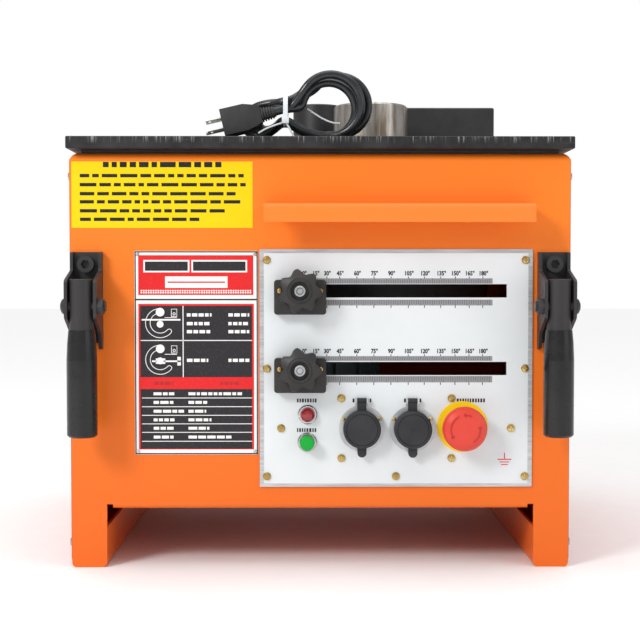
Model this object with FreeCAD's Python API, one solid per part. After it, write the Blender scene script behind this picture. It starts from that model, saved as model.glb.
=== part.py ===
import FreeCAD, Part
import math
import os

# Electric rebar bender. Millimetres, +Z up, X to the right, the operator's side faces -Y.
# Origin: centre of the machine's footprint, on the floor.

Vector = FreeCAD.Vector

# ---------------------------------------------------------------- driving dimensions
# Body shell
BODY_W = 496.0  # across the folded sheets, without the side covers
BODY_D = 426.0
BODY_H = 413.0
SHEET_T = 3.0
BEND_R = 9.0  # outer radius of the folds along the body's top
FOLD_R = 4.5  # outer radius of the other folds
TOP_FLANGE = 25.0
VENT_COLUMNS = 3  # cooling slots in the rear panel
VENT_ROWS = 5
VENT_LOW = 96.0
VENT_W = 60.0
VENT_H = 6.0
VENT_PITCH_X = 110.0
VENT_PITCH_Z = 14.0
SKIRT_H = 59.0  # underside of the front and rear panels above the floor
SKIRT_FLANGE = 20.0
FOOT_W = 35.0  # channel foot along each side
FOOT_LIP = 40.0
FOOT_R = 5.0
NOTCH_W = 6.0
COVER_T = 2.0
COVER_MARGIN = 5.0  # cover edge inside the body's outline, top and bottom
COVER_INSET = 8.0  # the same at the front and back
ACCESS_MARGIN = 55.0  # from the outline to the access opening behind the cover
TRAY_T = 2.5
FIT = 0.5  # assembly gap between sheet parts

# Worktable
TABLE_T = 12.0
TABLE_OVERHANG = 12.0  # past the body at the front and back
SPACER_T = 3.0
SPACER_W = 34.0
TABLE_BOLT_SIDE = 30.0  # bolt in from the body's side
BOLT_R = 5.0
BOLT_HEAD_R = 10.0
SPACER_INSET = 9.0

# Bending head. The bar lies along X behind the centre collar.
HEAD_X = 60.0
HEAD_Y = 15.0
PIN_RADIUS = 110.0  # from the main shaft's axis to the bending pin's axis
PIN_R = 18.0
PIN_SHOULDER_R = 19.5
SLOT_CLEARANCE = 1.0
PARK_DEG = 34.0  # parked pin, turned from straight back
SLOT_SWEEP_DEG = 222.0
COLLAR_R = 43.0
COLLAR_H = 60.0
ROLLER_R = 30.0
ROLLER_H = 72.0
POST_R = 20.0
POST_SHOULDER_R = 30.0
RUNNING = 0.05  # radial clearance of a shaft in its bore
LIFT = 0.6  # collar and roller above the table
DISC_R = 136.0
DISC_T = 20.0
DISC_GAP = 8.0  # disc below the table

# Reaction block
BLOCK_W = 110.0
BLOCK_D = 62.0
BLOCK_H = 69.5
BLOCK_X = 160.0
BAR_GAP = 30.0  # clear width between the collar and the block
BLOCK_BOLT_PITCH = 56.0
BLOCK_BOLT_R = 8.0
BLOCK_BOLT_KEY = 14.0  # across the flats of the socket

# Gear train: pinion teeth, gear teeth, module, face width for each stage
FINAL_STAGE = (12, 60, 4.0, 34.0)
SECOND_STAGE = (12, 60, 3.0, 24.0)
FIRST_STAGE = (12, 60, 2.0, 12.0)
PRESSURE_DEG = 25.0
ADDENDUM = 0.8
DEDENDUM = 1.05
BACKLASH = 0.06  # share of the module taken off each tooth's thickness
GEARBOX_WALL = 8.0
GEARBOX_FLOOR = 10.0
GEARBOX_COVER = 12.0
GEAR_CLEARANCE = 5.0
MAIN_R = 25.0  # main shaft at the upper bearing
MAIN_LOWER_R = 20.0
SECOND_R = 15.0
FIRST_R = 12.0
BEARING_WALL = 15.0
HANGER_R = 11.0

# Motor
MOTOR_R = 72.0
MOTOR_L = 182.0
ROTOR_R = 44.0
ROTOR_L = 105.0
MOTOR_SHAFT_R = 8.5
FAN_R = 58.0
FAN_H = 16.0

# Hood above the control panel
HOOD_W = 263.0
HOOD_OUT = 35.0
HOOD_LIP = 18.5
HOOD_DROP = 51.5  # hood top below the body's top
HOOD_T = 2.5
HOOD_R = 5.0

# Control panel
PANEL_W = 271.0
PANEL_H = 236.5
PANEL_T = 2.0
PANEL_DROP = 95.5  # panel top below the body's top
PANEL_SIDE = 37.4  # panel's right edge in from the body's right edge
SCREW_R = 2.0
SCREW_HEAD_R = 4.0
SCREW_HEAD_H = 2.4
SCREW_INSET = 7.2  # screw rows from the panel's edges
SCREW_INSET_TOP = 10.7
SCREW_INSET_LOW = 10.6
SCREW_MIDDLE = 118.4
EBOX_SCREW_TOP = 148.0  # the electrical box's screws and flange, from the panel's top edge and sides
EBOX_SCREW_LOW = 207.8
EBOX_SCREW_COLUMNS = (81.2, 190.8)
EBOX_SCREW_SIDES = (21.3, 250.0)
EBOX_TOP = 141.0
EBOX_LOW = 214.5
EBOX_INSET = 14.2
SLIDES_TOP = 16.0
CROSS_L = 2.4  # half the length and half the width of the cross recess
CROSS_W = 0.6
CROSS_DEPTH = 1.5

# Angle stops, measured from the panel's left edge and top edge
SLOT_START = 16.0
SLOT_END = 245.4
SLOT_H = 13.3
SLOT_DROPS = (41.3, 118.5)
STOP_START = 40.3
STOP_W = 51.2
STOP_ABOVE = 10.9
STOP_BELOW = 23.3
STOP_T = 11.5
STOP_NECK_W = 40.0
GLIDE = 0.35  # sliding gap
STUD_R = 4.0
KNOB_R = 21.7
KNOB_H = 21.0
KNOB_LOBES = 7
KNOB_VALLEY = 4.8
KNOB_TURN = 99.0  # degrees, the first lobe from +X
KNOB_HUB_R = 11.8
KNOB_NECK_L = 5.0
KNOB_NUT_R = 5.2

# Lamp, button, sockets and emergency stop, from the panel's left edge and top edge
LAMP_AT = (47.6, 164.2)
BUTTON_AT = (47.2, 191.6)
SOCKETS_AT = ((101.4, 178.0), (151.8, 178.3))
ESTOP_AT = (201.5, 176.2)
BEZEL_R = 9.6
BEZEL_H = 3.0
SWITCH_BODY_R = 8.5
SWITCH_DEPTH = 24.0
LENS_R = 7.4
LENS_H = 7.0
BUTTON_R = 7.1
BUTTON_OUT = 15.0
BUTTON_TRAVEL = 4.0
SOCKET_FLANGE_R = 22.8
SOCKET_FLANGE_T = 2.5
SOCKET_BARREL_R = 15.8
SOCKET_BARREL_H = 11.0
SOCKET_BARREL_TAPER = 1.5  # so that the cap clears the barrel as it swings up
SOCKET_WALL = 2.0
SOCKET_BACK_R = 14.5
SOCKET_BACK_L = 26.0
CAP_R = 18.5
CAP_END_T = 2.5
CAP_GROOVE_R = 15.4
STRAP_W = 9.0
STRAP_T = 2.6
STRAP_UP = 28.0
HINGE_R = 1.0
TAB_DOWN = 28.0
ESTOP_RING_R = 25.2
ESTOP_RING_T = 1.6
ESTOP_COLLAR_R = 14.0
ESTOP_COLLAR_H = 9.0
ESTOP_BARREL_R = 11.0
ESTOP_HEAD_R = 21.8
ESTOP_HEAD_OUT = 30.0
ESTOP_TRAVEL = 5.0
ESTOP_STEM_R = 6.0
EBOX_DEPTH = 34.0
EBOX_T = 1.5
EBOX_FLANGE = 12.0

# Rating plate
RATING_W = 122.6
RATING_H = 202.5
RATING_T = 0.8
RATING_GAP = 1.5
RATING_DROP = 97.3

# Carrying handles
HANDLE_INSET = 17.0  # bracket's middle in from the body's side
BRACKET_T = 3.0
BRACKET_TOP_DROP = 98.5
BRACKET_L = 96.0
BRACKET_BOLT_DROP = 12.0
BRACKET_BOLT_R = 5.0
PIVOT_DROP = 53.0
PIVOT_OUT = 33.0
PIVOT_R = 5.0
EAR_OUT = 42.0
LEVER_R = 11.5
BRACKET_W = 2 * (LEVER_R + BRACKET_T + 1.0)
LEVER_T = 2.5
LEVER_STUB = 26.5  # tube above the pivot
GRIP_R = 14.7
GRIP_T = 1.6
GRIP_DROP = 23.0  # grip's upper end below the pivot
GRIP_END_DROP = 126.5

# Power cord
CORD_R = 4.25
GLAND_X = -60.0
GLAND_Z = 230.0
GLAND_OUT = 28.0

# ---------------------------------------------------------------- derived places
TABLE_W = BODY_W + 2 * COVER_T
TABLE_D = BODY_D + 2 * TABLE_OVERHANG
TABLE_BOTTOM = BODY_H + SPACER_T
TABLE_TOP = TABLE_BOTTOM + TABLE_T
FRONT_Y = -BODY_D / 2
BACK_Y = BODY_D / 2
SIDE_X = BODY_W / 2
HEAD = Vector(HEAD_X, HEAD_Y, 0)
PARK_ANGLE = 90.0 + PARK_DEG
PIN_X = HEAD_X + PIN_RADIUS * math.cos(math.radians(PARK_ANGLE))
PIN_Y = HEAD_Y + PIN_RADIUS * math.sin(math.radians(PARK_ANGLE))
BLOCK_FRONT = HEAD_Y + COLLAR_R + BAR_GAP
DISC_TOP = TABLE_BOTTOM - DISC_GAP
DISC_BOTTOM = DISC_TOP - DISC_T
COVER_TOP = DISC_BOTTOM - 4.0
COVER_BOTTOM = COVER_TOP - GEARBOX_COVER
FINAL_Z = COVER_BOTTOM - 8.0 - FINAL_STAGE[3]
SECOND_Z = FINAL_Z - 8.0 - SECOND_STAGE[3]
FIRST_Z = SECOND_Z - 4.0 - FIRST_STAGE[3]
FLOOR_TOP = FIRST_Z - 4.0
FLOOR_BOTTOM = FLOOR_TOP - GEARBOX_FLOOR
PANEL_X = SIDE_X - PANEL_SIDE - PANEL_W
PANEL_Z = BODY_H - PANEL_DROP
PANEL_FRONT = FRONT_Y - PANEL_T
LEVER_Y = FRONT_Y - PIVOT_OUT
HANDLE_X = SIDE_X - HANDLE_INSET
BRACKET_TOP = BODY_H - BRACKET_TOP_DROP
PIVOT_Z = BRACKET_TOP - PIVOT_DROP
HINGE_OUT = SOCKET_FLANGE_T + GLIDE + STRAP_T / 2


def stage_distance(stage):
    return stage[2] * (stage[0] + stage[1]) / 2


SECOND_AXIS = Vector(HEAD_X - stage_distance(FINAL_STAGE), HEAD_Y, 0)
FIRST_AXIS = SECOND_AXIS - Vector(0, stage_distance(SECOND_STAGE), 0)
MOTOR_AXIS = FIRST_AXIS + Vector(stage_distance(FIRST_STAGE), 0, 0)


# ---------------------------------------------------------------- shape helpers
def box(x0, x1, y0, y1, z0, z1):
    return Part.makeBox(x1 - x0, y1 - y0, z1 - z0, Vector(x0, y0, z0))


def rod_x(r, x0, x1, y, z):
    return Part.makeCylinder(r, x1 - x0, Vector(x0, y, z), Vector(1, 0, 0))


def rod_y(r, y0, y1, x, z):
    return Part.makeCylinder(r, y1 - y0, Vector(x, y0, z), Vector(0, 1, 0))


def rod_z(r, z0, z1, x, y):
    return Part.makeCylinder(r, z1 - z0, Vector(x, y, z0))


def fuse(*shapes):
    return shapes[0].fuse(list(shapes[1:])).removeSplitter()


def cut(shape, *tools):
    return shape.cut(list(tools))


def flip_x(shape):
    return shape.mirror(Vector(0, 0, 0), Vector(1, 0, 0))


def flip_y(shape):
    return shape.mirror(Vector(0, 0, 0), Vector(0, 1, 0))


def rounded_wire(corners, place):
    """A closed outline with a round at each corner. Corners are (u, v, radius)."""
    edges = []
    ends = []
    count = len(corners)
    for i, (u, v, r) in enumerate(corners):
        here = Vector(u, v, 0)
        before = Vector(*corners[i - 1][:2], 0) - here
        after = Vector(*corners[(i + 1) % count][:2], 0) - here
        before.normalize()
        after.normalize()
        if r <= 0:
            ends.append((here, here))
            continue
        half = before.getAngle(after) / 2
        reach = r / math.tan(half)
        middle = (before + after).normalize()
        start = here + before * reach
        end = here + after * reach
        mid = here + middle * (r / math.sin(half) - r)
        edges.append(Part.Arc(place(start), place(mid), place(end)).toShape())
        ends.append((start, end))
    for i in range(count):
        start = ends[i][1]
        end = ends[(i + 1) % count][0]
        if (end - start).Length > 1e-6:
            edges.append(Part.LineSegment(place(start), place(end)).toShape())
    return Part.Wire(Part.__sortEdges__(edges))


def plate_x(corners, x0, x1):
    """Outline of (y, z, radius) corners, carried along X."""
    wire = rounded_wire(corners, lambda p: Vector(x0, p.x, p.y))
    return Part.Face(wire).extrude(Vector(x1 - x0, 0, 0))


def plate_y(corners, y0, y1):
    """Outline of (x, z, radius) corners, carried along Y."""
    wire = rounded_wire(corners, lambda p: Vector(p.x, y0, p.y))
    return Part.Face(wire).extrude(Vector(0, y1 - y0, 0))


def plate_z(corners, z0, z1):
    """Outline of (x, y, radius) corners, carried along Z."""
    wire = rounded_wire(corners, lambda p: Vector(p.x, p.y, z0))
    return Part.Face(wire).extrude(Vector(0, 0, z1 - z0))


def rectangle(u0, u1, v0, v1, r=0.0):
    return [(u0, v0, r), (u1, v0, r), (u1, v1, r), (u0, v1, r)]


def turned(profile, origin, axis=Vector(0, 0, 1)):
    """Solid of revolution about Z from (radius, height) corners, moved to origin and laid along axis."""
    points = [Vector(r, 0, z) for r, z in profile]
    face = Part.Face(Part.makePolygon(points + points[:1]))
    solid = face.revolve(Vector(0, 0, 0), Vector(0, 0, 1), 360)
    solid.Placement = FreeCAD.Placement(origin, FreeCAD.Rotation(Vector(0, 0, 1), axis))
    return solid


def ring(outer, inner, z0, z1, axis):
    return cut(rod_z(outer, z0, z1, axis.x, axis.y), rod_z(inner, z0 - 1, z1 + 1, axis.x, axis.y))


def save(name, *solids):
    """Write one node, after a look at each of its solids."""
    pieces = [piece for solid in solids for piece in solid.Solids]
    for piece in pieces:
        if not piece.isValid() or piece.Volume <= 0:
            raise ValueError(f"{name} has a bad solid")
    shape = pieces[0] if len(pieces) == 1 else Part.makeCompound(pieces)
    shape.exportStep(f"parts/{name}.step")


# ---------------------------------------------------------------- body shell
def bracket_bolt_points():
    return [(side * HANDLE_X, BRACKET_TOP - BRACKET_BOLT_DROP) for side in (-1, 1)]


def table_bolt_points():
    x = SIDE_X - TABLE_BOLT_SIDE
    y = BODY_D / 2 - (BEND_R + TOP_FLANGE) / 2
    return [(sx * x, sy * y) for sx in (-1, 1) for sy in (-1, 1)]


def folded_panel():
    """Front sheet: upper fold, lower fold between the feet, and the two foot plates."""
    inner = BEND_R - SHEET_T
    wall = plate_x(
        [
            (FRONT_Y, SKIRT_H - 8, 0),
            (FRONT_Y, BODY_H, BEND_R),
            (FRONT_Y + TOP_FLANGE, BODY_H, 0),
            (FRONT_Y + TOP_FLANGE, BODY_H - SHEET_T, 0),
            (FRONT_Y + SHEET_T, BODY_H - SHEET_T, inner),
            (FRONT_Y + SHEET_T, SKIRT_H - 8, 0),
        ],
        -SIDE_X,
        SIDE_X,
    )
    outline = plate_y(
        [(-SIDE_X, -1, 0), (SIDE_X, -1, 0), (SIDE_X, BODY_H, BEND_R), (-SIDE_X, BODY_H, BEND_R)],
        FRONT_Y - 1,
        FRONT_Y + TOP_FLANGE + 1,
    )
    wall = wall.common(outline)
    between = SIDE_X - FOOT_W
    wall = cut(wall, box(-between, between, FRONT_Y - 1, 0, 0, SKIRT_H + FOLD_R))
    span = between - NOTCH_W
    skirt = plate_x(
        [
            (FRONT_Y, SKIRT_H + FOLD_R, 0),
            (FRONT_Y, SKIRT_H, FOLD_R),
            (FRONT_Y + SKIRT_FLANGE, SKIRT_H, 0),
            (FRONT_Y + SKIRT_FLANGE, SKIRT_H + SHEET_T, 0),
            (FRONT_Y + SHEET_T, SKIRT_H + SHEET_T, FOLD_R - SHEET_T),
            (FRONT_Y + SHEET_T, SKIRT_H + FOLD_R, 0),
        ],
        -span,
        span,
    )
    foot = plate_y(
        [
            (-SIDE_X, 0, FOOT_R),
            (-SIDE_X + FOOT_W, 0, FOOT_R),
            (-SIDE_X + FOOT_W, SKIRT_H, 0),
            (-SIDE_X, SKIRT_H, 0),
        ],
        FRONT_Y,
        FRONT_Y + SHEET_T,
    )
    panel = fuse(wall, skirt, foot, flip_x(foot))
    holes = [
        rod_y(BRACKET_BOLT_R, FRONT_Y - 1, FRONT_Y + SHEET_T + 1, x, z)
        for x, z in bracket_bolt_points()
    ]
    holes += [rod_z(BOLT_R, BODY_H - SHEET_T - 1, BODY_H + 1, x, y) for x, y in table_bolt_points()]
    return cut(panel, *holes)


def panel_point(right, drop):
    """A place on the control panel, from its left edge and its top edge."""
    return PANEL_X + right, PANEL_Z - drop


def panel_screw_points():
    left, right, low = SCREW_INSET, PANEL_W - SCREW_INSET, PANEL_H - SCREW_INSET_LOW
    places = [(left, SCREW_INSET_TOP), (right, SCREW_INSET_TOP), (left, low), (right, low)]
    places += [(left, SCREW_MIDDLE), (right, SCREW_MIDDLE), (PANEL_W / 2, low)]
    for row in (EBOX_SCREW_TOP, EBOX_SCREW_LOW):
        places += [(across, row) for across in EBOX_SCREW_COLUMNS]
    places += [(across, (EBOX_SCREW_TOP + EBOX_SCREW_LOW) / 2) for across in EBOX_SCREW_SIDES]
    return [panel_point(*place) for place in places]


def panel_screw_holes():
    return [rod_y(SCREW_R, PANEL_FRONT - 1, FRONT_Y + SHEET_T + 1, x, z) for x, z in panel_screw_points()]


def ebox_outline():
    """Left, right, bottom and top of the electrical box's flange."""
    x0, z1 = panel_point(EBOX_INSET, EBOX_TOP)
    x1, z0 = panel_point(PANEL_W - EBOX_INSET, EBOX_LOW)
    return x0, x1, z0, z1


def windows():
    """Openings in the front sheet behind the control panel: for the stops and for the switches."""
    x0, x1, z0, z1 = ebox_outline()
    left = x0 - FIT
    right = x1 + FIT
    slides_top = PANEL_Z - SLIDES_TOP
    deep = (FRONT_Y - 1, FRONT_Y + SHEET_T + 1)
    return [
        box(left, right, *deep, z0 - FIT, z1 + FIT),
        box(left, right, *deep, z1 + 7.0, slides_top),
    ]


def front_panel():
    return cut(folded_panel(), *windows(), *panel_screw_holes())


def vents():
    """Slots with round ends for cooling air, as cutting tools through a sheet that faces Y."""
    tools = []
    for column in range(VENT_COLUMNS):
        for row in range(VENT_ROWS):
            x = (column - (VENT_COLUMNS - 1) / 2) * VENT_PITCH_X
            z = VENT_LOW + row * VENT_PITCH_Z
            outline = rectangle(x - VENT_W / 2, x + VENT_W / 2, z, z + VENT_H, VENT_H / 2 - 0.01)
            tools.append(plate_y(outline, FRONT_Y - 1, FRONT_Y + SHEET_T + 1))
    return tools


def rear_panel():
    gland = rod_y(CORD_R + 6.0, FRONT_Y - 1, FRONT_Y + SHEET_T + 1, GLAND_X, GLAND_Z)
    return flip_y(cut(folded_panel(), gland, *vents()))


def side_wall():
    """Left wall: folds in at the top, and along the floor into a channel foot with an upturned lip."""
    x = -SIDE_X
    inner = BEND_R - SHEET_T
    end = BODY_D / 2 - SHEET_T
    top = plate_y(
        [
            (x, SKIRT_H, 0),
            (x, BODY_H, BEND_R),
            (x + TOP_FLANGE, BODY_H, 0),
            (x + TOP_FLANGE, BODY_H - SHEET_T, 0),
            (x + SHEET_T, BODY_H - SHEET_T, inner),
            (x + SHEET_T, SKIRT_H, 0),
        ],
        -end,
        end,
    )
    foot = plate_y(
        [
            (x, SKIRT_H, 0),
            (x, 0, FOOT_R),
            (x + FOOT_W, 0, FOOT_R),
            (x + FOOT_W, FOOT_LIP, 0),
            (x + FOOT_W - SHEET_T, FOOT_LIP, 0),
            (x + FOOT_W - SHEET_T, SHEET_T, FOOT_R - SHEET_T),
            (x + SHEET_T, SHEET_T, FOOT_R - SHEET_T),
            (x + SHEET_T, SKIRT_H, 0),
        ],
        -end,
        end,
    )
    wall = fuse(top, foot)
    corner = BODY_D / 2 - TOP_FLANGE - FIT
    for y0, y1 in ((-BODY_D / 2, -corner), (corner, BODY_D / 2)):
        wall = cut(wall, box(x + SHEET_T, x + TOP_FLANGE + 1, y0, y1, BODY_H - BEND_R - 1, BODY_H + 1))
        wall = cut(wall, box(x - 1, x + SHEET_T + 1, y0, y1, BODY_H - BEND_R, BODY_H + 1))
    y0, y1 = -BODY_D / 2 + ACCESS_MARGIN, BODY_D / 2 - ACCESS_MARGIN
    opening = rectangle(y0, y1, SKIRT_H + ACCESS_MARGIN, BODY_H - ACCESS_MARGIN, 12.0)
    wall = cut(wall, plate_x(opening, x - 1, x + SHEET_T + 1))
    holes = [rod_x(SCREW_R + 0.5, x - 1, x + SHEET_T + 1, y, z) for y, z in cover_screw_points()]
    return cut(wall, *holes)


def cover_screw_points():
    edge = BODY_D / 2 - COVER_INSET - 8.0
    return [(y, z) for y in (-edge, 0.0, edge) for z in (COVER_MARGIN + 17.5, BODY_H - COVER_MARGIN - 17.5)]


def side_cover():
    x = -SIDE_X
    edge = BODY_D / 2 - COVER_INSET
    outline = rectangle(-edge, edge, COVER_MARGIN, BODY_H - COVER_MARGIN, 4.0)
    cover = plate_x(outline, x - COVER_T, x)
    holes = [rod_x(SCREW_R + 0.5, x - COVER_T - 1, x + 1, y, z) for y, z in cover_screw_points()]
    return cut(cover, *holes)


def cover_screws():
    x = -SIDE_X - COVER_T
    screws = []
    for y, z in cover_screw_points():
        screw = turned(
            [(0, 0), (4.6, 0), (4.6, 0.9), (3.6, 2.2), (1.6, 2.6), (1.6, 1.6), (0, 1.6)],
            Vector(x, y, z),
            Vector(-1, 0, 0),
        )
        shank = rod_x(SCREW_R + 0.5, x, x + COVER_T + SHEET_T + 4, y, z)
        screws.append(fuse(screw, shank))
    return screws + [flip_x(screw) for screw in screws]


def base_tray():
    x = SIDE_X - SHEET_T - FIT
    y = BODY_D / 2 - FOLD_R - FIT
    low = SKIRT_H + SHEET_T
    tray = plate_z(rectangle(-x, x, -y, y, 3.0), low, low + TRAY_T)
    drains = []
    for column in range(-2, 3):
        for row in (-1, 1):
            at = rectangle(column * 70 - 22, column * 70 + 22, row * 90 - 4, row * 90 + 4, 3.9)
            drains.append(plate_z(at, low - 1, low + TRAY_T + 1))
    return cut(tray, *drains)


def panel_hood():
    x1 = SIDE_X - 40.0
    x0 = x1 - HOOD_W
    top = BODY_H - HOOD_DROP
    front = FRONT_Y - HOOD_OUT
    return plate_x(
        [
            (FRONT_Y, top, 0),
            (front, top, HOOD_R),
            (front, top - HOOD_LIP, 0),
            (front + HOOD_T, top - HOOD_LIP, 0),
            (front + HOOD_T, top - HOOD_T, HOOD_R - HOOD_T),
            (FRONT_Y, top - HOOD_T, 0),
        ],
        x0,
        x1,
    )


# ---------------------------------------------------------------- worktable
def head_point(radius, degrees, z):
    angle = math.radians(degrees)
    return Vector(HEAD_X + radius * math.cos(angle), HEAD_Y + radius * math.sin(angle), z)


def pin_slot(z0, z1):
    """Curved slot about the main shaft, from straight back round by the left to the front."""
    half = PIN_SHOULDER_R + SLOT_CLEARANCE
    outer = PIN_RADIUS + half
    inner = PIN_RADIUS - half
    a0 = 90.0
    a1 = 90.0 + SLOT_SWEEP_DEG
    middle = (a0 + a1) / 2
    start_tip = head_point(PIN_RADIUS, a0, z0) + Vector(half, 0, 0)
    turn = math.radians(a1 + 90)
    end_tip = head_point(PIN_RADIUS, a1, z0) + Vector(math.cos(turn), math.sin(turn), 0) * half
    arcs = [
        (head_point(outer, a0, z0), head_point(outer, middle, z0), head_point(outer, a1, z0)),
        (head_point(outer, a1, z0), end_tip, head_point(inner, a1, z0)),
        (head_point(inner, a1, z0), head_point(inner, middle, z0), head_point(inner, a0, z0)),
        (head_point(inner, a0, z0), start_tip, head_point(outer, a0, z0)),
    ]
    wire = Part.Wire([Part.Arc(*points).toShape() for points in arcs])
    return Part.Face(wire).extrude(Vector(0, 0, z1 - z0))


def block_bolt_points():
    y = BLOCK_FRONT + BLOCK_D / 2
    return [(BLOCK_X + side * BLOCK_BOLT_PITCH / 2, y) for side in (-1, 1)]


def countersunk(x, y):
    """Countersunk table bolt, its head flush with the table."""
    sink = BOLT_HEAD_R - BOLT_R
    low = BODY_H - SHEET_T - 6.0 - TABLE_TOP
    profile = [(0, low), (BOLT_R, low), (BOLT_R, -sink), (BOLT_HEAD_R, 0), (3.0, 0), (3.0, -3.5), (0, -3.5)]
    return turned(profile, Vector(x, y, TABLE_TOP))


def countersunk_hole(x, y):
    sink = BOLT_HEAD_R - BOLT_R
    low = -TABLE_T - 1
    profile = [(0, low), (BOLT_R, low), (BOLT_R, -sink), (BOLT_HEAD_R, 0), (BOLT_HEAD_R, 1), (0, 1)]
    return turned(profile, Vector(x, y, TABLE_TOP))


def worktable_plate():
    plate = box(-TABLE_W / 2, TABLE_W / 2, -TABLE_D / 2, TABLE_D / 2, TABLE_BOTTOM, TABLE_TOP)
    plate = plate.makeChamfer(0.8, plate.Edges)
    low, high = TABLE_BOTTOM - 1, TABLE_TOP + 1
    tools = [pin_slot(low, high), rod_z(POST_SHOULDER_R + SLOT_CLEARANCE, low, high, HEAD_X, HEAD_Y)]
    tools += [countersunk_hole(x, y) for x, y in table_bolt_points()]
    tools += [rod_z(BLOCK_BOLT_R, low, high, x, y) for x, y in block_bolt_points()]
    return cut(plate, *tools)


def table_spacer_frame():
    x = SIDE_X - SPACER_INSET
    y = BODY_D / 2 - SPACER_INSET
    outer = plate_z(rectangle(-x, x, -y, y, 4.0), BODY_H, TABLE_BOTTOM)
    inside = rectangle(-x + SPACER_W, x - SPACER_W, -y + SPACER_W, y - SPACER_W, 8.0)
    frame = cut(outer, plate_z(inside, BODY_H - 1, TABLE_BOTTOM + 1))
    holes = [rod_z(BOLT_R, BODY_H - 1, TABLE_BOTTOM + 1, x, y) for x, y in table_bolt_points()]
    return cut(frame, *holes)


def reaction_block():
    x0, x1 = BLOCK_X - BLOCK_W / 2, BLOCK_X + BLOCK_W / 2
    y0, y1 = BLOCK_FRONT, BLOCK_FRONT + BLOCK_D
    block = box(x0, x1, y0, y1, TABLE_TOP, TABLE_TOP + BLOCK_H)
    block = block.makeChamfer(1.5, block.Edges)
    top = TABLE_TOP + BLOCK_H
    tools = []
    for x, y in block_bolt_points():
        tools.append(rod_z(BLOCK_BOLT_R, TABLE_TOP - 1, top + 1, x, y))
        tools.append(rod_z(2 * BLOCK_BOLT_R - 2, top - 2 * BLOCK_BOLT_R - 2, top + 1, x, y))
    return cut(block, *tools)


def block_bolt(x, y):
    seat = TABLE_TOP + BLOCK_H - 2 * BLOCK_BOLT_R - 2
    head = fuse(
        rod_z(1.5 * BLOCK_BOLT_R, seat, seat + 2 * BLOCK_BOLT_R, x, y),
        rod_z(BLOCK_BOLT_R, TABLE_BOTTOM, seat, x, y),
    )
    socket = hexagon(x, y, BLOCK_BOLT_KEY)
    return cut(head, plate_z(socket, seat + BLOCK_BOLT_R, seat + 2 * BLOCK_BOLT_R + 1))


# ---------------------------------------------------------------- bending head
def centre_collar():
    low = TABLE_TOP + LIFT
    profile = [
        (POST_R + RUNNING, 0),
        (COLLAR_R - 1.5, 0),
        (COLLAR_R, 1.5),
        (COLLAR_R, COLLAR_H - 2.0),
        (COLLAR_R - 2.0, COLLAR_H),
        (POST_R + RUNNING + 1, COLLAR_H),
        (POST_R + RUNNING, COLLAR_H - 1),
    ]
    return turned(profile, Vector(HEAD_X, HEAD_Y, low))


def bending_roller():
    low = TABLE_TOP + LIFT
    profile = [
        (PIN_R + RUNNING, 0),
        (ROLLER_R - 1.5, 0),
        (ROLLER_R, 1.5),
        (ROLLER_R, ROLLER_H - 1.5),
        (ROLLER_R - 1.5, ROLLER_H),
        (PIN_R + RUNNING, ROLLER_H),
    ]
    return turned(profile, Vector(PIN_X, PIN_Y, low))


def bending_pin():
    low = DISC_BOTTOM - TABLE_TOP
    profile = [
        (0, low),
        (PIN_R, low),
        (PIN_R, low + DISC_T),
        (PIN_SHOULDER_R, low + DISC_T),
        (PIN_SHOULDER_R, LIFT - 0.1),
        (PIN_R, LIFT - 0.1),
        (PIN_R, ROLLER_H - 5),
        (PIN_R - 2, ROLLER_H - 3),
        (0, ROLLER_H - 3),
    ]
    return turned(profile, Vector(PIN_X, PIN_Y, TABLE_TOP))


def turntable_disc():
    disc = rod_z(DISC_R, DISC_BOTTOM, DISC_TOP, HEAD_X, HEAD_Y)
    disc = disc.makeChamfer(2.0, [edge for edge in disc.Edges if edge.Length > 2 * DISC_R])
    bore = rod_z(MAIN_R, DISC_BOTTOM - 1, DISC_TOP + 1, HEAD_X, HEAD_Y)
    pin = rod_z(PIN_R, DISC_BOTTOM - 1, DISC_TOP + 1, PIN_X, PIN_Y)
    return cut(disc, bore, pin)


GEAR_SEAT_R = 30.0


def main_shaft():
    profile = [
        (0, FLOOR_BOTTOM + FIT),
        (MAIN_LOWER_R, FLOOR_BOTTOM + FIT),
        (MAIN_LOWER_R, FLOOR_TOP + FIT),
        (MAIN_R, FLOOR_TOP + FIT),
        (MAIN_R, FINAL_Z - 3),
        (GEAR_SEAT_R, FINAL_Z - 3),
        (GEAR_SEAT_R, COVER_BOTTOM - 2),
        (MAIN_R, COVER_BOTTOM - 2),
        (MAIN_R, DISC_TOP),
        (POST_SHOULDER_R, DISC_TOP),
        (POST_SHOULDER_R, TABLE_TOP + LIFT - 0.1),
        (POST_R, TABLE_TOP + LIFT - 0.1),
        (POST_R, TABLE_TOP + COLLAR_H - 4),
        (POST_R - 3, TABLE_TOP + COLLAR_H - 1),
        (0, TABLE_TOP + COLLAR_H - 1),
    ]
    return turned(profile, Vector(HEAD_X, HEAD_Y, 0))


# ---------------------------------------------------------------- gears
def involute_points(base, r0, r1, steps):
    """(radius, turn) along an involute flank from radius r0 to r1."""
    points = []
    for i in range(steps + 1):
        r = r0 + (r1 - r0) * i / steps
        roll = math.sqrt(max((r / base) ** 2 - 1, 0))
        points.append((r, roll - math.atan(roll)))
    return points


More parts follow.
